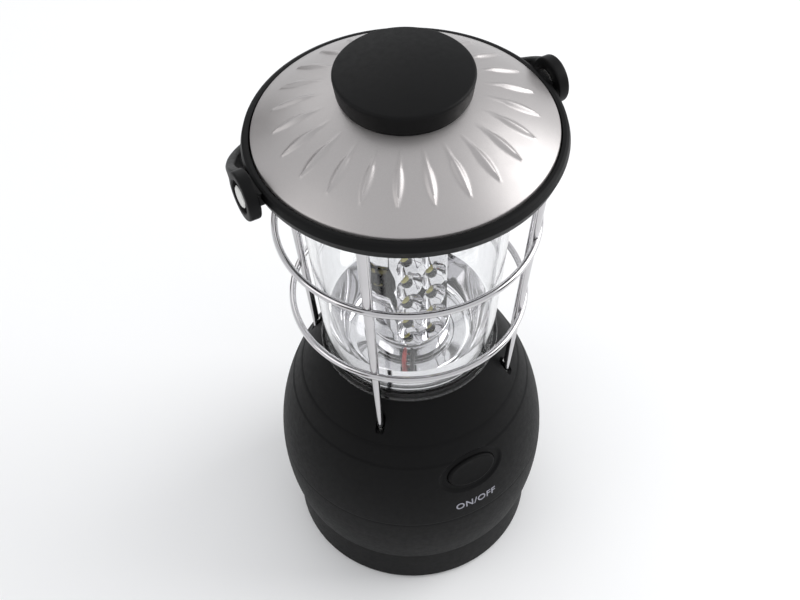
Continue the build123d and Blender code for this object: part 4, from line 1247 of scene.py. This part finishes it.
def make_dish():
    """Mirrored bowl at the globe's foot, with a hollow pedestal for the tower and its lead gate."""
    s = settings("light")
    skin = 1.2 * MM
    seat_z = TOWER_LOW_Z
    seat_r = TOWER_HALF * math.sqrt(2) + 1 * MM
    foot_r = seat_r + 0.1 * MM
    step_r = seat_r + 1.6 * MM
    low_z = DISH_LOW_Z + 3 * MM
    low_r = seat_r + 6.5 * MM
    top = rounded([(DECK_HOLE_R, seat_z, 0), (seat_r, seat_z, 0.5 * MM),
                   (seat_r, seat_z - skin, 0), (foot_r, low_z + 2 * MM, 0),
                   (foot_r, low_z + 0.9 * MM, 0.3 * MM), (step_r, low_z + 0.7 * MM, 0.3 * MM),
                   (step_r + 0.4 * MM, low_z, 0.3 * MM), (low_r, low_z, 0)])
    width = DISH_LIP_R - low_r
    height = DISH_LIP_Z - low_z
    steepness = 2.1
    steps = 22
    hollow_steps = 16
    side, under = [], []
    for i in range(1, steps + 1):
        t = i / steps
        slope = steepness * height * t ** (steepness - 1) / width
        drop = skin / math.hypot(1, slope)
        r = low_r + width * t
        z = low_z + height * t ** steepness
        side.append((r, z))
        if i <= hollow_steps:
            under.insert(0, (r + slope * drop, z - drop))
    skirt_r = lens_r(LENS_LOW_Z) - (lens_r(DISH_LIP_Z) - DISH_LIP_R)
    skirt_z = DISH_LOW_Z + 0.4 * MM
    skirt = [(skirt_r, skirt_z), (skirt_r - skin, skirt_z)]
    inner_r = seat_r - skin
    inside = [(inner_r, low_z - skin), (inner_r, seat_z - skin), (DECK_HOLE_R, seat_z - skin)]
    bm = lathe(top + side + skirt + under + inside, turn(180))
    piece = piece_from("reflector_bowl", bm, mirror_plastic(), 30)
    gate_depth = 5 * MM
    bm = bmesh.new()
    bmesh.ops.create_cube(bm, size=1.0)
    for vertex in bm.verts:
        vertex.co.x = seat_r + vertex.co.x * gate_depth
        vertex.co.y *= s.gate_w
        vertex.co.z = DISH_LOW_Z + s.gate_z + vertex.co.z * s.gate_h
    bmesh.ops.rotate(bm, matrix=Matrix.Rotation(math.radians(LEAD_AZIMUTH), 3, "Z"), verts=bm.verts)
    combine(piece, piece_from("gate", bm, mirror_plastic()), "DIFFERENCE", 30)
    finish_piece(piece, "base", "mirror_plastic", "reflector_dish")


def dress_cad_nodes():
    """Procedural finishes for the nodes whose CAD shape stays."""
    by_slot = {
        "rubber": black_rubber, "natural_plastic": natural_plastic, "contact_metal": contact_metal,
        "cell_jacket": cell_jacket, "mirror_plastic": mirror_plastic, "circuit_board": circuit_board,
        "lead_red": lead_red, "lead_black": lead_black, "zinc_screw": zinc,
        "switch_plastic": switch_plastic,
    }
    slots = {part["node"]: part["material_slot"] for part in frame["record"]["subparts"]}
    for name, node in frame["nodes"].items():
        if node.hide_render:
            continue
        finish = by_slot[slots[name]]()
        if not node.material_slots:
            node.data.materials.append(finish)
        for socket in node.material_slots:
            socket.material = finish


# ---- stage -----------------------------------------------------------------------------------
def make_camera():
    """Camera at the viewing angle, rolled a little."""
    s = settings("stage")
    a, e = s.azimuth, s.elevation
    back = Vector((math.sin(a) * math.cos(e), -math.cos(a) * math.cos(e), math.sin(e)))
    right = Vector((math.cos(a), math.sin(a), 0))
    up = back.cross(right)
    rolled_right = right * math.cos(s.roll) + up * math.sin(s.roll)
    rolled_up = up * math.cos(s.roll) - right * math.sin(s.roll)
    target = Vector((0, 0, s.target_z)) + rolled_right * s.target_right
    data = bpy.data.cameras.new("camera")
    data.lens = s.focal
    data.sensor_width = 36.0
    data.clip_start = 0.01
    data.clip_end = 20.0
    camera = bpy.data.objects.new("camera", data)
    bpy.context.scene.collection.objects.link(camera)
    turned = Matrix((rolled_right, rolled_up, back)).transposed().to_4x4()
    camera.matrix_world = Matrix.Translation(target + back * s.distance) @ turned
    bpy.context.scene.camera = camera


def make_light(name, place, size, power, tint=(1, 1, 1)):
    """A square soft light that faces the lantern."""
    data = bpy.data.lights.new(name, "AREA")
    data.size = size
    data.energy = power
    data.color = tint
    lamp = bpy.data.objects.new(name, data)
    bpy.context.scene.collection.objects.link(lamp)
    lamp.location = place
    away = Vector(place) - Vector((0, 0, 0.12))
    lamp.rotation_euler = away.to_track_quat("Z", "Y").to_euler()


def make_floor():
    """Plain pale floor."""
    bm = bmesh.new()
    bmesh.ops.create_circle(bm, cap_ends=True, radius=6.0, segments=96)
    f = Finish("pale_floor", Roughness=0.9)
    f.colour(f.mixed(f.noise(3, 2), (0.90, 0.90, 0.90), (0.93, 0.93, 0.93)))
    floor = piece_from("floor", bm, f.material)


def make_card(name, place, half_w, half_h):
    """Dark upright card that shows only in the reflections of chrome and mirrors."""
    across = Vector((-place[1], place[0], 0)).normalized() * half_w
    bm = bmesh.new()
    up = Vector((0, 0, half_h))
    corners = [Vector(place) + across * x + up * z for x, z in ((-1, -1), (1, -1), (1, 1), (-1, 1))]
    bm.faces.new([bm.verts.new(corner) for corner in corners])
    f = Finish("dark_card", Roughness=0.9)
    f.colour(f.mixed(f.noise(3, 2), (0.05, 0.045, 0.04), (0.07, 0.06, 0.055)))
    card = piece_from(name, bm, f.material)
    card.visible_camera = False
    card.visible_diffuse = False
    card.visible_shadow = False


def make_stage():
    """Camera, floor, soft lights, dark cards and even surroundings."""
    s = settings("stage")
    make_camera()
    make_floor()
    cards = {"left": (-0.9, -0.35, 0.25), "right": (0.75, -0.75, 0.25), "rear": (-0.3, 1.0, 0.25)}
    for side, place in cards.items():
        make_card("card_" + side, place, 0.16, 0.4)
    make_light("key", (1.15, -0.30, 0.85), 1.0, s.key)
    make_light("fill", (-1.0, 0.1, 0.9), 0.7, s.fill, (1.0, 0.98, 0.96))
    make_light("back", (0.1, 1.2, 1.0), 0.9, s.fill)
    world = bpy.data.worlds.new("surroundings")
    world.use_nodes = True
    background = world.node_tree.nodes["Background"].inputs
    background["Color"].default_value = (0.93, 0.94, 0.96, 1)
    background["Strength"].default_value = s.sky
    bpy.context.scene.world = world
    bpy.context.scene.view_settings.view_transform = "Standard"


# ---- operators, panel and registration -------------------------------------------------------
class LANTERN_OT_housing(bpy.types.Operator):
    """Builds the base housing with its well and post slots"""
    bl_idname = "lantern.housing"
    bl_label = "Base housing"

    def execute(self, context):
        make_housing()
        return {"FINISHED"}


class LANTERN_OT_cover(bpy.types.Operator):
    """Builds the battery cover and its rubber ring"""
    bl_idname = "lantern.cover"
    bl_label = "Battery cover"

    def execute(self, context):
        make_cover()
        return {"FINISHED"}


class LANTERN_OT_button(bpy.types.Operator):
    """Builds the oval push button"""
    bl_idname = "lantern.button"
    bl_label = "Push button"

    def execute(self, context):
        make_button()
        return {"FINISHED"}


class LANTERN_OT_legend(bpy.types.Operator):
    """Lays the switch's legend on the housing"""
    bl_idname = "lantern.legend"
    bl_label = "Legend"

    def execute(self, context):
        make_legend()
        return {"FINISHED"}


class LANTERN_OT_roof(bpy.types.Operator):
    """Builds the domed roof and presses its ribs"""
    bl_idname = "lantern.roof"
    bl_label = "Roof"

    def execute(self, context):
        make_roof()
        return {"FINISHED"}


class LANTERN_OT_rim(bpy.types.Operator):
    """Builds the rim ring"""
    bl_idname = "lantern.rim"
    bl_label = "Rim"

    def execute(self, context):
        make_rim()
        return {"FINISHED"}


class LANTERN_OT_knob(bpy.types.Operator):
    """Builds the top knob"""
    bl_idname = "lantern.knob"
    bl_label = "Knob"

    def execute(self, context):
        make_knob()
        return {"FINISHED"}


class LANTERN_OT_handle(bpy.types.Operator):
    """Builds the folding bail"""
    bl_idname = "lantern.handle"
    bl_label = "Handle"

    def execute(self, context):
        make_handle()
        return {"FINISHED"}


class LANTERN_OT_guard(bpy.types.Operator):
    """Builds the chromed rings and posts"""
    bl_idname = "lantern.guard"
    bl_label = "Wire guard"

    def execute(self, context):
        make_guard()
        return {"FINISHED"}


class LANTERN_OT_globe(bpy.types.Operator):
    """Builds the clear globe"""
    bl_idname = "lantern.globe"
    bl_label = "Globe"

    def execute(self, context):
        make_globe()
        return {"FINISHED"}


class LANTERN_OT_light(bpy.types.Operator):
    """Builds the mirrored tower, its lamps and the bowl"""
    bl_idname = "lantern.light"
    bl_label = "Light"

    def execute(self, context):
        make_tower()
        make_lamps()
        make_dish()
        return {"FINISHED"}


class LANTERN_OT_inner(bpy.types.Operator):
    """Gives the pieces that keep their CAD shape their finishes"""
    bl_idname = "lantern.inner"
    bl_label = "Inner parts and screws"

    def execute(self, context):
        dress_cad_nodes()
        return {"FINISHED"}


class LANTERN_OT_stage(bpy.types.Operator):
    """Sets the camera, the floor, the dark cards and the lights"""
    bl_idname = "lantern.stage"
    bl_label = "Stage"

    def execute(self, context):
        make_stage()
        return {"FINISHED"}


OPERATORS = (LANTERN_OT_stage, LANTERN_OT_housing, LANTERN_OT_cover, LANTERN_OT_button, LANTERN_OT_legend,
             LANTERN_OT_roof, LANTERN_OT_rim, LANTERN_OT_knob, LANTERN_OT_handle, LANTERN_OT_guard,
             LANTERN_OT_globe, LANTERN_OT_light, LANTERN_OT_inner)


class LANTERN_PT_panel(bpy.types.Panel):
    """Lists the lantern's pieces"""
    bl_idname = "LANTERN_PT_panel"
    bl_label = "Camping lantern"
    bl_space_type = "VIEW_3D"
    bl_region_type = "UI"
    bl_category = "Lantern"

    def draw(self, context):
        for operator in OPERATORS:
            self.layout.operator(operator.bl_idname)
        for name in SETTINGS:
            group = getattr(context.scene, name)
            box = self.layout.box()
            for field in group.__annotations__:
                box.prop(group, field)


def register():
    """Registers the settings, operators and panel."""
    for name, group in SETTINGS.items():
        bpy.utils.register_class(group)
        setattr(bpy.types.Scene, name, PointerProperty(type=group))
    for operator in OPERATORS:
        bpy.utils.register_class(operator)
    bpy.utils.register_class(LANTERN_PT_panel)


def unregister():
    """Removes what register() added."""
    bpy.utils.unregister_class(LANTERN_PT_panel)
    for operator in OPERATORS:
        bpy.utils.unregister_class(operator)
    for name, group in SETTINGS.items():
        delattr(bpy.types.Scene, name)
        bpy.utils.unregister_class(group)


def main():
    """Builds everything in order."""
    register()
    for operator in OPERATORS:
        getattr(bpy.ops.lantern, operator.bl_idname.split(".")[1])()


if __name__ == "__main__":
    main()
